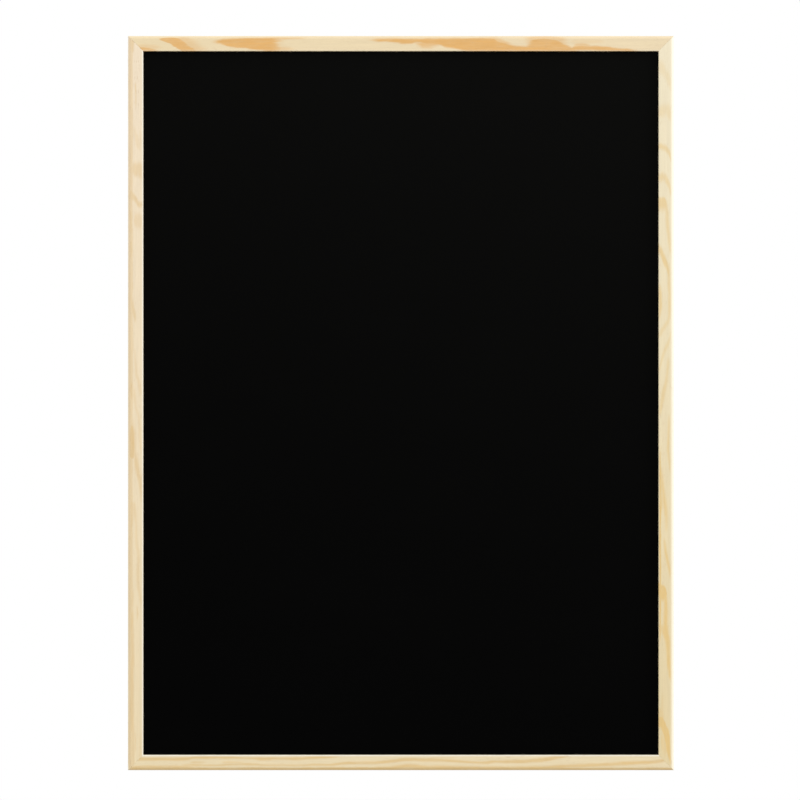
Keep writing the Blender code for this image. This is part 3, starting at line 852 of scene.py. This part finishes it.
RIGHT_STREAKS = (
    Streak(0.24, 7.0, (
        (2.8, 54, 0), (4.2, 50, 7), (6.0, 46, 7), (8.5, 41, 6), (11, 36, 6.5), (14, 34, 7),
        (16.5, 33, 6), (18.5, 32, 4)), True),
    Streak(0.3, 6.0, (
        (2.8, 86, 0), (4.2, 83, 7.5), (6.5, 80.5, 7), (9, 79.5, 5.6), (13, 80, 5.6),
        (16.5, 81.5, 5), (18.5, 82, 4)), True),
    Streak(0.52, 4.0, (
        (3.4, 132, 0), (4.4, 127.4, 4.2), (5.0, 125.5, 4.0), (6.2, 123, 3.4), (8, 120.8, 3.1),
        (10, 119.3, 3.0), (13, 118.4, 2.9), (17, 118, 2.9), (18.5, 118, 2.6)), True),
    Streak(0.46, 5.0, (
        (3.0, 168, 0), (4.2, 164, 5), (5.5, 159, 5), (7, 155, 4.6), (9, 152, 4.2),
        (12, 150.4, 4), (17, 150, 4), (18.5, 150, 3)), True),
    Streak(0.58, 8.0, (
        (7.8, 181, 0), (9.4, 180, 6), (11.5, 179, 7), (14, 179, 7), (16.5, 179, 7),
        (18.5, 179, 5)), True, 3.0),
    Streak(0.46, 2.2, (
        (172, 9.2, 0), (182, 8.4, 1.3), (192, 7.6, 1.7), (202, 7.0, 1.8), (212, 5.9, 1.6),
        (222, 4.8, 1.4), (238, 3.8, 0)), end=10.0),
    Streak(0.66, 5.0, (
        (4.8, 256, 0), (6.4, 249, 5.4), (8, 243.5, 5.2), (10, 239, 5.2), (12, 234.5, 5.4),
        (14, 230, 5.2), (16.5, 227, 5.0), (18.5, 226, 4)), True),
    Streak(0.5, 2.0, (
        (240, 6.6, 0), (248, 5.9, 1.2), (256, 5.5, 1.3), (270, 5.1, 1.3), (282, 4.8, 1.4),
        (292, 4.9, 1.3), (300, 5.6, 1.1), (308, 7.0, 0))),
    Streak(0.34, 4.4, (
        (4.4, 298, 0), (5.6, 302, 3.6), (7.5, 305, 3.4), (10, 309, 3.4), (13, 313.5, 3.4),
        (16.5, 318, 3.2), (18.5, 320, 3)), True),
    Streak(0.7, 2.8, (
        (260, 16.2, 0), (270, 15.2, 1.0), (278, 14.8, 1.6), (286, 14.8, 1.6), (294, 15.2, 1.1),
        (306, 16.2, 0)), start=4.0, end=8.0),
    Streak(0.36, 5.0, (
        (3.0, 314, 0), (4.2, 319, 4), (5.5, 324, 4), (8, 329.5, 3.8), (10.5, 335, 4),
        (12.5, 341, 4.4), (14.5, 349, 4.4), (16.5, 355, 0)), True),
    Streak(0.44, 2.2, (
        (340, 5.8, 0), (348, 6.5, 1.0), (358, 7.4, 1.1), (366, 8.4, 1.5), (373, 9.9, 1.9),
        (380, 11.6, 2.0), (388, 12.9, 1.9), (396, 14.2, 1.5), (404, 15.2, 0))),
    Streak(0.55, 1.8, (
        (398, 5.0, 0), (410, 5.8, 0.8), (424, 6.1, 0.9), (436, 6.4, 1.2), (444, 5.9, 1.2),
        (454, 5.0, 0.8), (470, 4.3, 0)), start=8.0, end=10.0),
    Streak(0.95, 0.8, (
        (430, 15.0, 0), (450, 14.9, 0.7), (500, 14.8, 0.8), (560, 14.9, 0.8), (630, 14.9, 0.8),
        (650, 15.0, 0)), start=24.0, end=18.0),
    Streak(0.65, 2.6, (
        (452, 15, 0), (462, 14.2, 1.3), (472, 13.2, 1.6), (482, 12.2, 1.7), (492, 10.9, 1.8),
        (500, 9.6, 1.6), (508, 8.6, 1.4), (516, 8.1, 1.1), (532, 8.2, 0)), end=12.0),
    Streak(0.65, 2.2, ((482, 13.8, 0), (492, 13.6, 1.2), (499, 13.8, 1.2), (508, 14.2, 0)),
           start=5.0, end=5.0),
    Streak(0.7, 2.0, (
        (530, 10.4, 0), (540, 9.8, 0.9), (548, 8.9, 1.2), (555, 7.7, 1.3), (562, 6.2, 1.3),
        (568, 5.0, 1.0), (580, 4.2, 0)), start=6.0, end=6.0),
    Streak(0.88, 5.0, (
        (7.6, 592, 0), (9.2, 592, 6), (10.5, 592, 8), (12, 591.5, 8.6), (14.5, 590, 8.2),
        (16.5, 588, 7), (18.5, 588, 5)), True, 2.6),
    Streak(0.78, 2.2, (
        (588, 10.0, 0), (598, 9.6, 1.8), (606, 9.1, 1.9), (616, 8.9, 1.9), (624, 9.2, 2.1),
        (630, 9.4, 2.9), (636, 8.5, 2.9), (642, 7.1, 2.5), (652, 6.2, 2.2), (664, 5.6, 2.0),
        (674, 4.8, 1.7), (690, 3.7, 0)), end=10.0),
    Streak(0.5, 5.0, ((8.6, 629, 0), (11, 629, 5), (13, 629, 4), (15.4, 630, 0)), True),
    Streak(0.3, 2.2, (
        (692, 12.4, 0), (704, 12.5, 0.9), (716, 12.8, 1.6), (724, 13.6, 2.0), (734, 14.5, 0)),
        start=8.0),
    Streak(0.4, 5.0, ((11, 724, 0), (12.5, 721, 6), (16.5, 720, 7), (18.5, 720, 6)), True),
    Streak(0.84, 4.6, (
        (3.0, 771, 0), (4.2, 764, 10), (5, 757, 14.5), (6, 751.5, 15), (7, 748.5, 14.5),
        (8, 745.5, 13.5), (9, 741.5, 12), (10, 737.5, 10), (11, 734, 8.5), (12, 731, 7.6),
        (13, 729, 6.8), (14.5, 728, 6), (16.5, 728, 5.5), (18.5, 728, 4)), True, 2.6),
    Streak(0.34, 7.0, ((7.5, 757, 0), (9.5, 755, 8), (12, 751, 9), (14.5, 748, 0)), True),
)


# How one rail is dressed.  side names its colours in the settings, pith is where the
# middle of the tree lay in millimetres across and behind, the next number is how pale
# the inner edge is, rubbed wood with painted highlight that is strongest on the left and
# bottom rails, which face the key light, the one after is painted highlight on the outer
# round, and each patch of dark fibres is given as its strength and, in millimetres, its
# start, end, middle and reach.
Dress = namedtuple("Dress", "rail side streaks pith rub worn patches")
DRESSES = (
    Dress(TOP_RAIL, "top", TOP_STREAKS, (30.0, 52.0), 0.2, 0.0, ()),
    Dress(BOTTOM_RAIL, "bottom", BOTTOM_STREAKS, (-40.0, 30.0), 0.95, 0.0, ()),
    Dress(LEFT_STILE, "left", LEFT_STREAKS, (22.0, 60.0), 0.8, 0.0,
          ((1.0, 16.0, 84.0, 10.0, 4.0),)),
    # The right stile's 0.7 paints highlight on its outer round, which faces the key light.
    Dress(RIGHT_STILE, "right", RIGHT_STREAKS, (10.0, 45.0), 0.0, 0.7, ()),
)

# A place on a rail in millimetres, as three sockets and as one vector
Spot = namedtuple("Spot", "along across behind vector")


def rail_spot(finish, rail):
    """The shaded place on a rail, from its outer front corner."""
    from_corner = finish.vector_calc("SUBTRACT", finish.position(), tuple(rail.corner))
    parts = []
    for axis in (rail.along, rail.across, Y_AXIS):
        parts.append(finish.vector_calc("DOT_PRODUCT", from_corner, tuple(axis / MM)))
    combined = finish.node("ShaderNodeCombineXYZ")
    for socket, value in zip(combined.inputs, parts):
        finish.feed(socket, value)
    return Spot(*parts, combined.outputs["Vector"])


def streak_mask(finish, streak, along, across, feather, fray):
    """How much one streak colours the wood, 0 to its strength."""
    if streak.crossways:
        run, place, ragged = across, along, finish.times(fray, CROSS_FRAY)
    else:
        run, place, ragged = along, across, feather
    fade = SOFTNESS * streak.fade
    upper = SOFTNESS * streak.upper or fade
    first, last = streak.path[0][0], streak.path[-1][0]
    share = finish.ramp(run, first, last, kind="LINEAR", clamp=False)
    middles = [((at - first) / (last - first), middle) for at, middle, reach in streak.path]
    reaches = [((at - first) / (last - first), reach or -0.5 * max(fade, upper))
               for at, middle, reach in streak.path]
    aside = finish.minus(place, finish.curve(share, middles))
    reach = finish.plus(finish.curve(share, reaches), ragged)
    mask = finish.ramp(
        finish.minus(reach, aside), -0.5 * fade, 0.5 * fade, 0.0, abs(streak.strength))
    mask = finish.times(mask, finish.ramp(
        finish.plus(reach, aside), -0.5 * upper, 0.5 * upper))
    frayed_run = finish.plus(run, fray)
    if streak.start:
        mask = finish.times(mask, finish.ramp(frayed_run, first, first + streak.start))
    if streak.end:
        mask = finish.times(mask, finish.ramp(
            frayed_run, last - streak.end, last, 1.0, 0.0))
    return mask


def streaks_over(finish, streaks, along, across, feather, fray):
    """All the streaks of one rail, the strongest where they overlap.

    A streak whose strength is below zero takes away from those before it.
    """
    total = 0.0
    for streak in streaks:
        mask = streak_mask(finish, streak, along, across, feather, fray)
        if streak.strength > 0.0:
            total = finish.calc("MAXIMUM", total, mask)
        else:
            total = finish.times(total, finish.minus(1.0, mask))
    return total


def growth_rings(finish, across, behind, wander, pith_across, pith_behind):
    """Ring lines that a rail's sides and back show, cut along the tree."""
    ring_width = 3.4
    aside = finish.plus(finish.minus(across, pith_across), wander)
    back = finish.minus(behind, pith_behind)
    squares = finish.plus(finish.times(aside, aside), finish.times(back, back))
    radius = finish.calc("SQRT", squares)
    ring = finish.calc("FRACT", finish.calc("DIVIDE", radius, ring_width))
    rise = finish.ramp(ring, 0.35, 0.9)
    fall = finish.ramp(ring, 0.9, 1.0, 1.0, 0.0)
    return finish.times(rise, fall)


def latewood(finish, dress, spot, grain, mottle):
    """How much latewood shows: streaks in front, growth rings at the sides and back."""
    slow = finish.noise(spot.vector, (34.0, 7.0, 12.0), 2.0)
    quick = finish.noise(spot.vector, (9.0, 2.4, 4.0), 2.0)
    bend = finish.plus(finish.span(slow, 0.0, 1.0, -0.5, 0.5),
                       finish.span(quick, 0.0, 1.0, -0.5, 0.5))
    bent_across = finish.plus(spot.across, bend)
    bent_along = finish.plus(spot.along, finish.span(slow, 0.0, 1.0, -2.0, 2.0))
    ragged = finish.plus(finish.span(grain, 0.35, 0.65, -0.7, 0.7),
                         finish.span(mottle, 0.35, 0.65, -0.5, 0.5))
    flames = streaks_over(
        finish, dress.streaks, bent_along, bent_across,
        finish.times(ragged, FEATHER), finish.times(ragged, FRAY))
    wander = finish.span(
        finish.noise(spot.vector, (150.0, 40.0, 40.0), 2.0), 0.0, 1.0, -16.0, 16.0)
    rings = growth_rings(finish, bent_across, spot.behind, wander, *dress.pith)
    behind_front = finish.ramp(spot.behind, 2.5, 6.0)
    late = finish.blend_values(behind_front, flames, finish.times(rings, 0.7))
    late = finish.times(late, finish.span(grain, 0.3, 0.7, 0.94, 1.04))
    return finish.times(late, finish.span(mottle, 0.3, 0.7, 0.88, 1.08))


def pale_edges_and_highlights(finish, dress, spot):
    """How pale the wood is at its inner edge, rubbed wood with painted highlight, and at its
    outer round, where it is painted highlight.
    """
    inner = RAIL_FACE / MM
    # Inner edge: a little rubbed wood, mostly painted highlight on the rails whose edge faces
    # the key light.
    pale = finish.times(finish.ramp(spot.across, inner - 1.6, inner - 0.7),
                        finish.ramp(spot.behind, 1.0, 2.0, dress.rub, 0.0))
    # Outer round: painted highlight, where the coat would reflect the key light.
    if dress.worn:
        outer = finish.times(finish.ramp(spot.across, 0.8, 5.4, dress.worn, 0.0),
                             finish.ramp(spot.behind, 4.0, 9.0, 1.0, 0.0))
        pale = finish.calc("MAXIMUM", pale, outer)
    return pale


def dark_fibres(finish, dress, spot):
    """Short dark fibres: where each one is, and how strongly they show there."""
    fibre = finish.ramp(finish.noise(spot.vector, (8.0, 0.55, 0.55), 1.0), 0.62, 0.74)
    where = finish.noise(spot.vector, (45.0, 9.0, 9.0), 1.0)
    density = finish.ramp(where, 0.45, 0.7, 0.12, 0.45)
    patch_end = 12.0
    for strength, start, end, middle, reach in dress.patches:
        near = finish.ramp(spot.along, start, start + patch_end)
        near = finish.times(near, finish.ramp(spot.along, end - patch_end, end, 1.0, 0.0))
        aside = finish.calc("ABSOLUTE", finish.minus(spot.across, middle))
        near = finish.times(near, finish.ramp(aside, reach * 0.5, reach, strength, 0.0))
        density = finish.calc("MAXIMUM", density, near)
    return fibre, density


def pine(dress, settings):
    """Planed and waxed pine: pale wood, latewood, pale edges with painted highlight and dark
    fibres.
    """
    finish = Finish(dress.rail.name + "_pine")
    spot = rail_spot(finish, dress.rail)
    grain = finish.noise(spot.vector, (24.0, 0.6, 0.6), 3.0, 0.6)
    fine = finish.noise(spot.vector, (9.0, 0.16, 0.16), 2.0)
    soft = finish.noise(spot.vector, (46.0, 1.9, 2.4), 2.0)
    cloud = finish.noise(spot.vector, (60.0, 6.0, 10.0), 2.0)
    mottle = finish.noise(spot.vector, (15.0, 2.4, 3.0), 3.0, 0.6)
    late = latewood(finish, dress, spot, grain, mottle)

    first, last, streak_colour = [
        getattr(settings, dress.side + "_" + name) for name in ("first", "last", "streak")]
    share = finish.span(spot.along, 0.0, dress.rail.length / MM)
    wood = finish.blend(share, first, last)
    wood = finish.blend(late, wood, streak_colour)
    level = finish.plus(finish.span(grain, 0.25, 0.75, -0.025, 0.025),
                        finish.span(fine, 0.25, 0.75, -0.02, 0.02))
    level = finish.plus(level, finish.span(soft, 0.25, 0.75, -0.03, 0.03))
    level = finish.plus(level, finish.span(cloud, 0.25, 0.75, 0.975, 1.025))
    wood = finish.vector_calc("SCALE", wood, level)
    # Pale rubbed edges and painted highlight.
    wood = finish.blend(pale_edges_and_highlights(finish, dress, spot), wood, settings.rub_and_highlight)
    fibre, density = dark_fibres(finish, dress, spot)
    wood = finish.blend(finish.times(fibre, density), wood, settings.resin)

    height = finish.plus(finish.times(grain, 0.6), finish.times(fine, 0.4))
    height = finish.plus(height, finish.times(late, 0.35))
    height = finish.minus(height, finish.times(fibre, 0.5))
    rough = finish.minus(finish.span(grain, 0.2, 0.8, 0.44, 0.56), finish.times(late, 0.05))
    finish.set(Base_Color=wood, Roughness=rough, IOR=1.5, Coat_Weight=1.0,
               Coat_Roughness=0.22)
    finish.bump(height, 0.06 * MM, 0.35)
    return finish.material


def writing_coat(settings):
    """Matt black coat with a fine tooth and a trace of wiped chalk, and painted sheen that
    lightens it towards the upper right, where the key light is.
    """
    finish = Finish("writing_coat")
    position = finish.position()
    # Painted sheen: the black grows lighter towards the upper right, as if lit by the key
    # light.
    from_middle = finish.vector_calc("SUBTRACT", position, tuple(FRAME_MIDDLE))
    to_painted_light = Vector((0.35, 0.0, 0.94)) / (FRAME_HEIGHT / 2.0)
    up = finish.vector_calc("DOT_PRODUCT", from_middle, tuple(to_painted_light))
    share = finish.calc("POWER", finish.span(up, -1.1, 1.1), 1.4)
    black = finish.blend(share, settings.black_painted_shaded, settings.black_painted_lit)
    strokes = finish.noise(position, (0.16, 0.05, 0.07), 4.0, 0.6)
    dust = finish.noise(position, (0.0011, 0.0011, 0.0011), 2.0)
    haze = finish.times(finish.ramp(strokes, 0.4, 0.8), finish.ramp(dust, 0.3, 0.8))
    black = finish.blend(finish.times(haze, 0.05), black, settings.chalk_haze)
    tooth = finish.noise(position, (0.0005, 0.0005, 0.0005), 3.0, 0.6)
    rough = finish.plus(finish.span(tooth, 0.2, 0.8, 0.82, 0.9), finish.times(haze, 0.06))
    finish.set(Base_Color=black, Roughness=rough, Specular_IOR_Level=settings.coat_gloss)
    finish.bump(tooth, 0.03 * MM, 0.3)
    return finish.material


def hardboard(settings):
    """Raw hardboard with the pressed screen of its rough side and stray fibres, its pits
    darkened with painted shade.
    """
    finish = Finish("raw_hardboard")
    position = finish.position()
    turn = 2.0 * math.pi / settings.screen_pitch
    weave = []
    for axis in (Vector((1.0, 0.0, 0.12)), Vector((-0.12, 0.0, 1.0))):
        wires = finish.vector_calc("DOT_PRODUCT", position, tuple(axis * turn))
        weave.append(finish.ramp(finish.calc("SINE", wires), -0.6, 1.0))
    pits = finish.times(*weave)
    flecks = finish.noise(position, (0.004, 0.004, 0.0012), 3.0, 0.65)
    clouds = finish.noise(position, (0.09, 0.09, 0.06), 3.0, 0.6)
    # Painted shade: the pits of the screen are darker, as shade in the recesses.
    brown = finish.blend(
        finish.times(pits, 0.75), settings.hardboard, settings.hardboard_pit_shade)
    level = finish.plus(finish.span(flecks, 0.25, 0.75, -0.16, 0.16),
                        finish.span(clouds, 0.3, 0.7, 0.92, 1.08))
    brown = finish.vector_calc("SCALE", brown, level)
    height = finish.minus(finish.times(flecks, 0.5), pits)
    rough = finish.span(flecks, 0.2, 0.8, 0.72, 0.9)
    finish.set(Base_Color=brown, Roughness=rough, Specular_IOR_Level=0.3)
    finish.bump(height, 0.25 * MM, 0.7)
    return finish.material


def zinc_plate(settings):
    """Bright zinc on rolled steel: fine rolling lines, dull clouds, a faint tint."""
    finish = Finish("zinc_plate")
    position = finish.position()
    rolled = finish.noise(position, (0.012, 0.0004, 0.0002), 3.0, 0.6)
    clouds = finish.noise(position, (0.004, 0.004, 0.004), 3.0, 0.6)
    bluish, yellowish = [
        tuple(level * share for level, share in zip(settings.zinc, tint))
        for tint in ((0.95, 1.0, 1.04), (1.04, 1.0, 0.9))]
    steel = finish.blend(finish.ramp(clouds, 0.3, 0.7), bluish, yellowish)
    steel = finish.vector_calc("SCALE", steel, finish.span(rolled, 0.2, 0.8, 0.92, 1.06))
    rough = finish.plus(finish.span(clouds, 0.25, 0.75, 0.26, 0.4),
                        finish.span(rolled, 0.2, 0.8, -0.05, 0.05))
    finish.set(Base_Color=steel, Roughness=rough, Metallic=1.0)
    finish.bump(rolled, 0.01 * MM, 0.3)
    return finish.material


# Operators

CORNERS = (("top", "left"), ("top", "right"), ("bottom", "left"), ("bottom", "right"))

# How far the shape that cuts a corner nail's slot stands out of the rail's back
SLOT_PAST_BACK = 1.0 * MM


class CHALKBOARD_OT_rails(bpy.types.Operator):
    """Build the four pine rails, with slots for the corner nails"""

    bl_idname = "chalkboard.rails"
    bl_label = "Pine rails"

    def execute(self, context):
        nails = context.scene.chalkboard_corner_nails
        for dress in DRESSES:
            rail = dress.rail
            piece = make_rail(rail, context.scene.chalkboard_rails)
            slots = []
            for level, hand in CORNERS:
                if level in rail.name or hand in rail.name:
                    node = "corner_nail_" + level + "_" + hand
                    slots.append(make_wing(
                        "slot", node, nails, nails.slot_room, SLOT_PAST_BACK))
            carve(piece, slots)
            stand_for(piece, rail.name, pine(dress, context.scene.chalkboard_pine))
        return {"FINISHED"}


class CHALKBOARD_OT_panel(bpy.types.Operator):
    """Finish the writing sheet and the hardboard behind it"""

    bl_idname = "chalkboard.panel"
    bl_label = "Writing sheet and backing"

    def execute(self, context):
        settings = context.scene.chalkboard_panel
        finishes = {
            "chalk_surface": writing_coat(settings),
            "backing_board": hardboard(settings),
        }
        for node, material in finishes.items():
            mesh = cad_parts[node].data
            mesh.materials.clear()
            mesh.materials.append(material)
        return {"FINISHED"}


class CHALKBOARD_OT_hangers(bpy.types.Operator):
    """Build the two sawtooth hangers and their four nails"""

    bl_idname = "chalkboard.hangers"
    bl_label = "Hangers and nails"

    def execute(self, context):
        settings = context.scene.chalkboard_hangers
        zinc = zinc_plate(settings)
        for hand in ("left", "right"):
            node = "hanger_" + hand
            stand_for(make_hanger(node + "_plate", node, settings), node, zinc)
            for place in ("outer", "inner"):
                node = "hanger_nail_" + hand + "_" + place
                nail = make_hanger_nail(node + "_turned", node, settings)
                stand_for(nail, node, zinc, sharp_angle=50.0)
        return {"FINISHED"}


class CHALKBOARD_OT_corner_nails(bpy.types.Operator):
    """Build the V-shaped nails that hold the mitres from behind"""

    bl_idname = "chalkboard.corner_nails"
    bl_label = "Corner nails"

    def execute(self, context):
        settings = context.scene.chalkboard_corner_nails
        zinc = zinc_plate(context.scene.chalkboard_hangers)
        for level, hand in CORNERS:
            node = "corner_nail_" + level + "_" + hand
            wing = make_wing(node + "_curled", node, settings, 0.0, 0.0)
            stand_for(wing, node, zinc)
        return {"FINISHED"}


class CHALKBOARD_OT_stage(bpy.types.Operator):
    """Set up the camera, the lamps, the white surroundings and the floor"""

    bl_idname = "chalkboard.stage"
    bl_label = "Camera, light and floor"

    def execute(self, context):
        settings = context.scene.chalkboard_stage
        set_camera(context.scene, settings)
        set_world(context.scene, settings)
        add_key_light(context.scene, settings)
        add_floor(settings)
        return {"FINISHED"}


def set_camera(scene, settings):
    """Look straight at the frame, as the photograph does."""
    data = bpy.data.cameras.new("camera")
    data.sensor_width = 36.0
    seen_width = FRAME_WIDTH / settings.frame_share
    data.lens = data.sensor_width * settings.camera_distance / seen_width
    data.clip_start = 0.01
    data.clip_end = 100.0
    camera = bpy.data.objects.new("camera", data)
    scene.collection.objects.link(camera)
    camera.location = FRAME_MIDDLE + Vector((
        settings.camera_right, -settings.camera_distance, settings.camera_up))
    camera.rotation_euler = (math.radians(90.0), 0.0, 0.0)
    scene.camera = camera


def set_world(scene, settings):
    """Even white light; the camera and reflections see plain white."""
    world = bpy.data.worlds.new("white_surroundings")
    world.use_nodes = True
    scene.world = world
    tree = world.node_tree
    tree.nodes.clear()
    ray = tree.nodes.new("ShaderNodeLightPath")
    sees_white = ray.outputs["Is Camera Ray"]
    for kind in ("Is Glossy Ray", "Is Transmission Ray"):
        either = tree.nodes.new("ShaderNodeMath")
        either.operation = "MAXIMUM"
        tree.links.new(sees_white, either.inputs[0])
        tree.links.new(ray.outputs[kind], either.inputs[1])
        sees_white = either.outputs["Value"]
    level = tree.nodes.new("ShaderNodeMapRange")
    level.inputs["To Min"].default_value = settings.sky_light
    level.inputs["To Max"].default_value = 1.0
    tree.links.new(sees_white, level.inputs["Value"])
    background = tree.nodes.new("ShaderNodeBackground")
    background.inputs["Color"].default_value = (1.0, 1.0, 1.0, 1.0)
    tree.links.new(level.outputs["Result"], background.inputs["Strength"])
    output = tree.nodes.new("ShaderNodeOutputWorld")
    tree.links.new(background.outputs["Background"], output.inputs["Surface"])
    scene.view_settings.view_transform = "Standard"


def add_key_light(scene, settings):
    """Soft light from far off to the upper right, equally strong on all four rails."""
    data = bpy.data.lights.new("soft_box", "SUN")
    data.angle = settings.key_angle
    data.energy = settings.key_light
    lamp = bpy.data.objects.new("soft_box", data)
    scene.collection.objects.link(lamp)
    to_lamp = Vector((0.85, -0.3, 0.42)).normalized()
    lamp.location = FRAME_MIDDLE + to_lamp
    lamp.rotation_mode = "QUATERNION"
    lamp.rotation_quaternion = (-to_lamp).to_track_quat("-Z", "Y")


def add_floor(settings):
    """A plain pale floor well below the board, out of the camera's view."""
    shape = bmesh.new()
    bmesh.ops.create_grid(shape, x_segments=1, y_segments=1, size=settings.floor_size / 2.0)
    bmesh.ops.translate(
        shape, verts=shape.verts,
        vec=(FRAME_MIDDLE.x, FRAME_MIDDLE.y, FRAME_BOTTOM - settings.floor_drop))
    floor = new_object("floor", shape)
    finish = Finish("pale_floor")
    distance = finish.node("ShaderNodeVectorMath")
    distance.operation = "LENGTH"
    finish.feed(distance.inputs[0], finish.vector_calc(
        "MULTIPLY", finish.position(), (1.0, 1.0, 0.0)))
    near_radius = 200.0 * MM
    far = finish.ramp(distance.outputs["Value"], near_radius, settings.floor_size / 2.0)
    pale = finish.blend(far, settings.floor_near, settings.floor_far)
    camera_ray = finish.node("ShaderNodeLightPath").outputs["Is Camera Ray"]
    finish.set(
        Base_Color=finish.blend(camera_ray, settings.floor_colour, pale),
        Roughness=0.9, Specular_IOR_Level=0.1)
    floor.data.materials.append(finish.material)


class CHALKBOARD_PT_sidebar(bpy.types.Panel):
    """The chalkboard's operators and settings"""

    bl_label = "Chalkboard"
    bl_idname = "CHALKBOARD_PT_sidebar"
    bl_space_type = "VIEW_3D"
    bl_region_type = "UI"
    bl_category = "Chalkboard"

    def draw(self, context):
        layout = self.layout
        for operator, groups in STEPS:
            box = layout.box()
            box.operator(operator.bl_idname)
            for group in groups:
                settings = getattr(context.scene, group)
                for name in type(settings).__annotations__:
                    box.prop(settings, name)


# Each operator in its order, with the groups of settings that its box shows
STEPS = (
    (CHALKBOARD_OT_rails, ("chalkboard_rails", "chalkboard_pine")),
    (CHALKBOARD_OT_panel, ("chalkboard_panel",)),
    (CHALKBOARD_OT_hangers, ("chalkboard_hangers",)),
    (CHALKBOARD_OT_corner_nails, ("chalkboard_corner_nails",)),
    (CHALKBOARD_OT_stage, ("chalkboard_stage",)),
)

GROUPS = {
    "chalkboard_rails": RailSettings,
    "chalkboard_pine": PineSettings,
    "chalkboard_panel": PanelSettings,
    "chalkboard_hangers": HangerSettings,
    "chalkboard_corner_nails": CornerNailSettings,
    "chalkboard_stage": StageSettings,
}


def register():
    for name, group in GROUPS.items():
        bpy.utils.register_class(group)
        setattr(bpy.types.Scene, name, bpy.props.PointerProperty(type=group))
    for operator, shown in STEPS:
        bpy.utils.register_class(operator)
    bpy.utils.register_class(CHALKBOARD_PT_sidebar)


def unregister():
    bpy.utils.unregister_class(CHALKBOARD_PT_sidebar)
    for operator, shown in reversed(STEPS):
        bpy.utils.unregister_class(operator)
    for name, group in reversed(list(GROUPS.items())):
        delattr(bpy.types.Scene, name)
        bpy.utils.unregister_class(group)


def main():
    register()
    bpy.ops.chalkboard.rails()
    bpy.ops.chalkboard.panel()
    bpy.ops.chalkboard.hangers()
    bpy.ops.chalkboard.corner_nails()
    bpy.ops.chalkboard.stage()


if __name__ == "__main__":
    main()
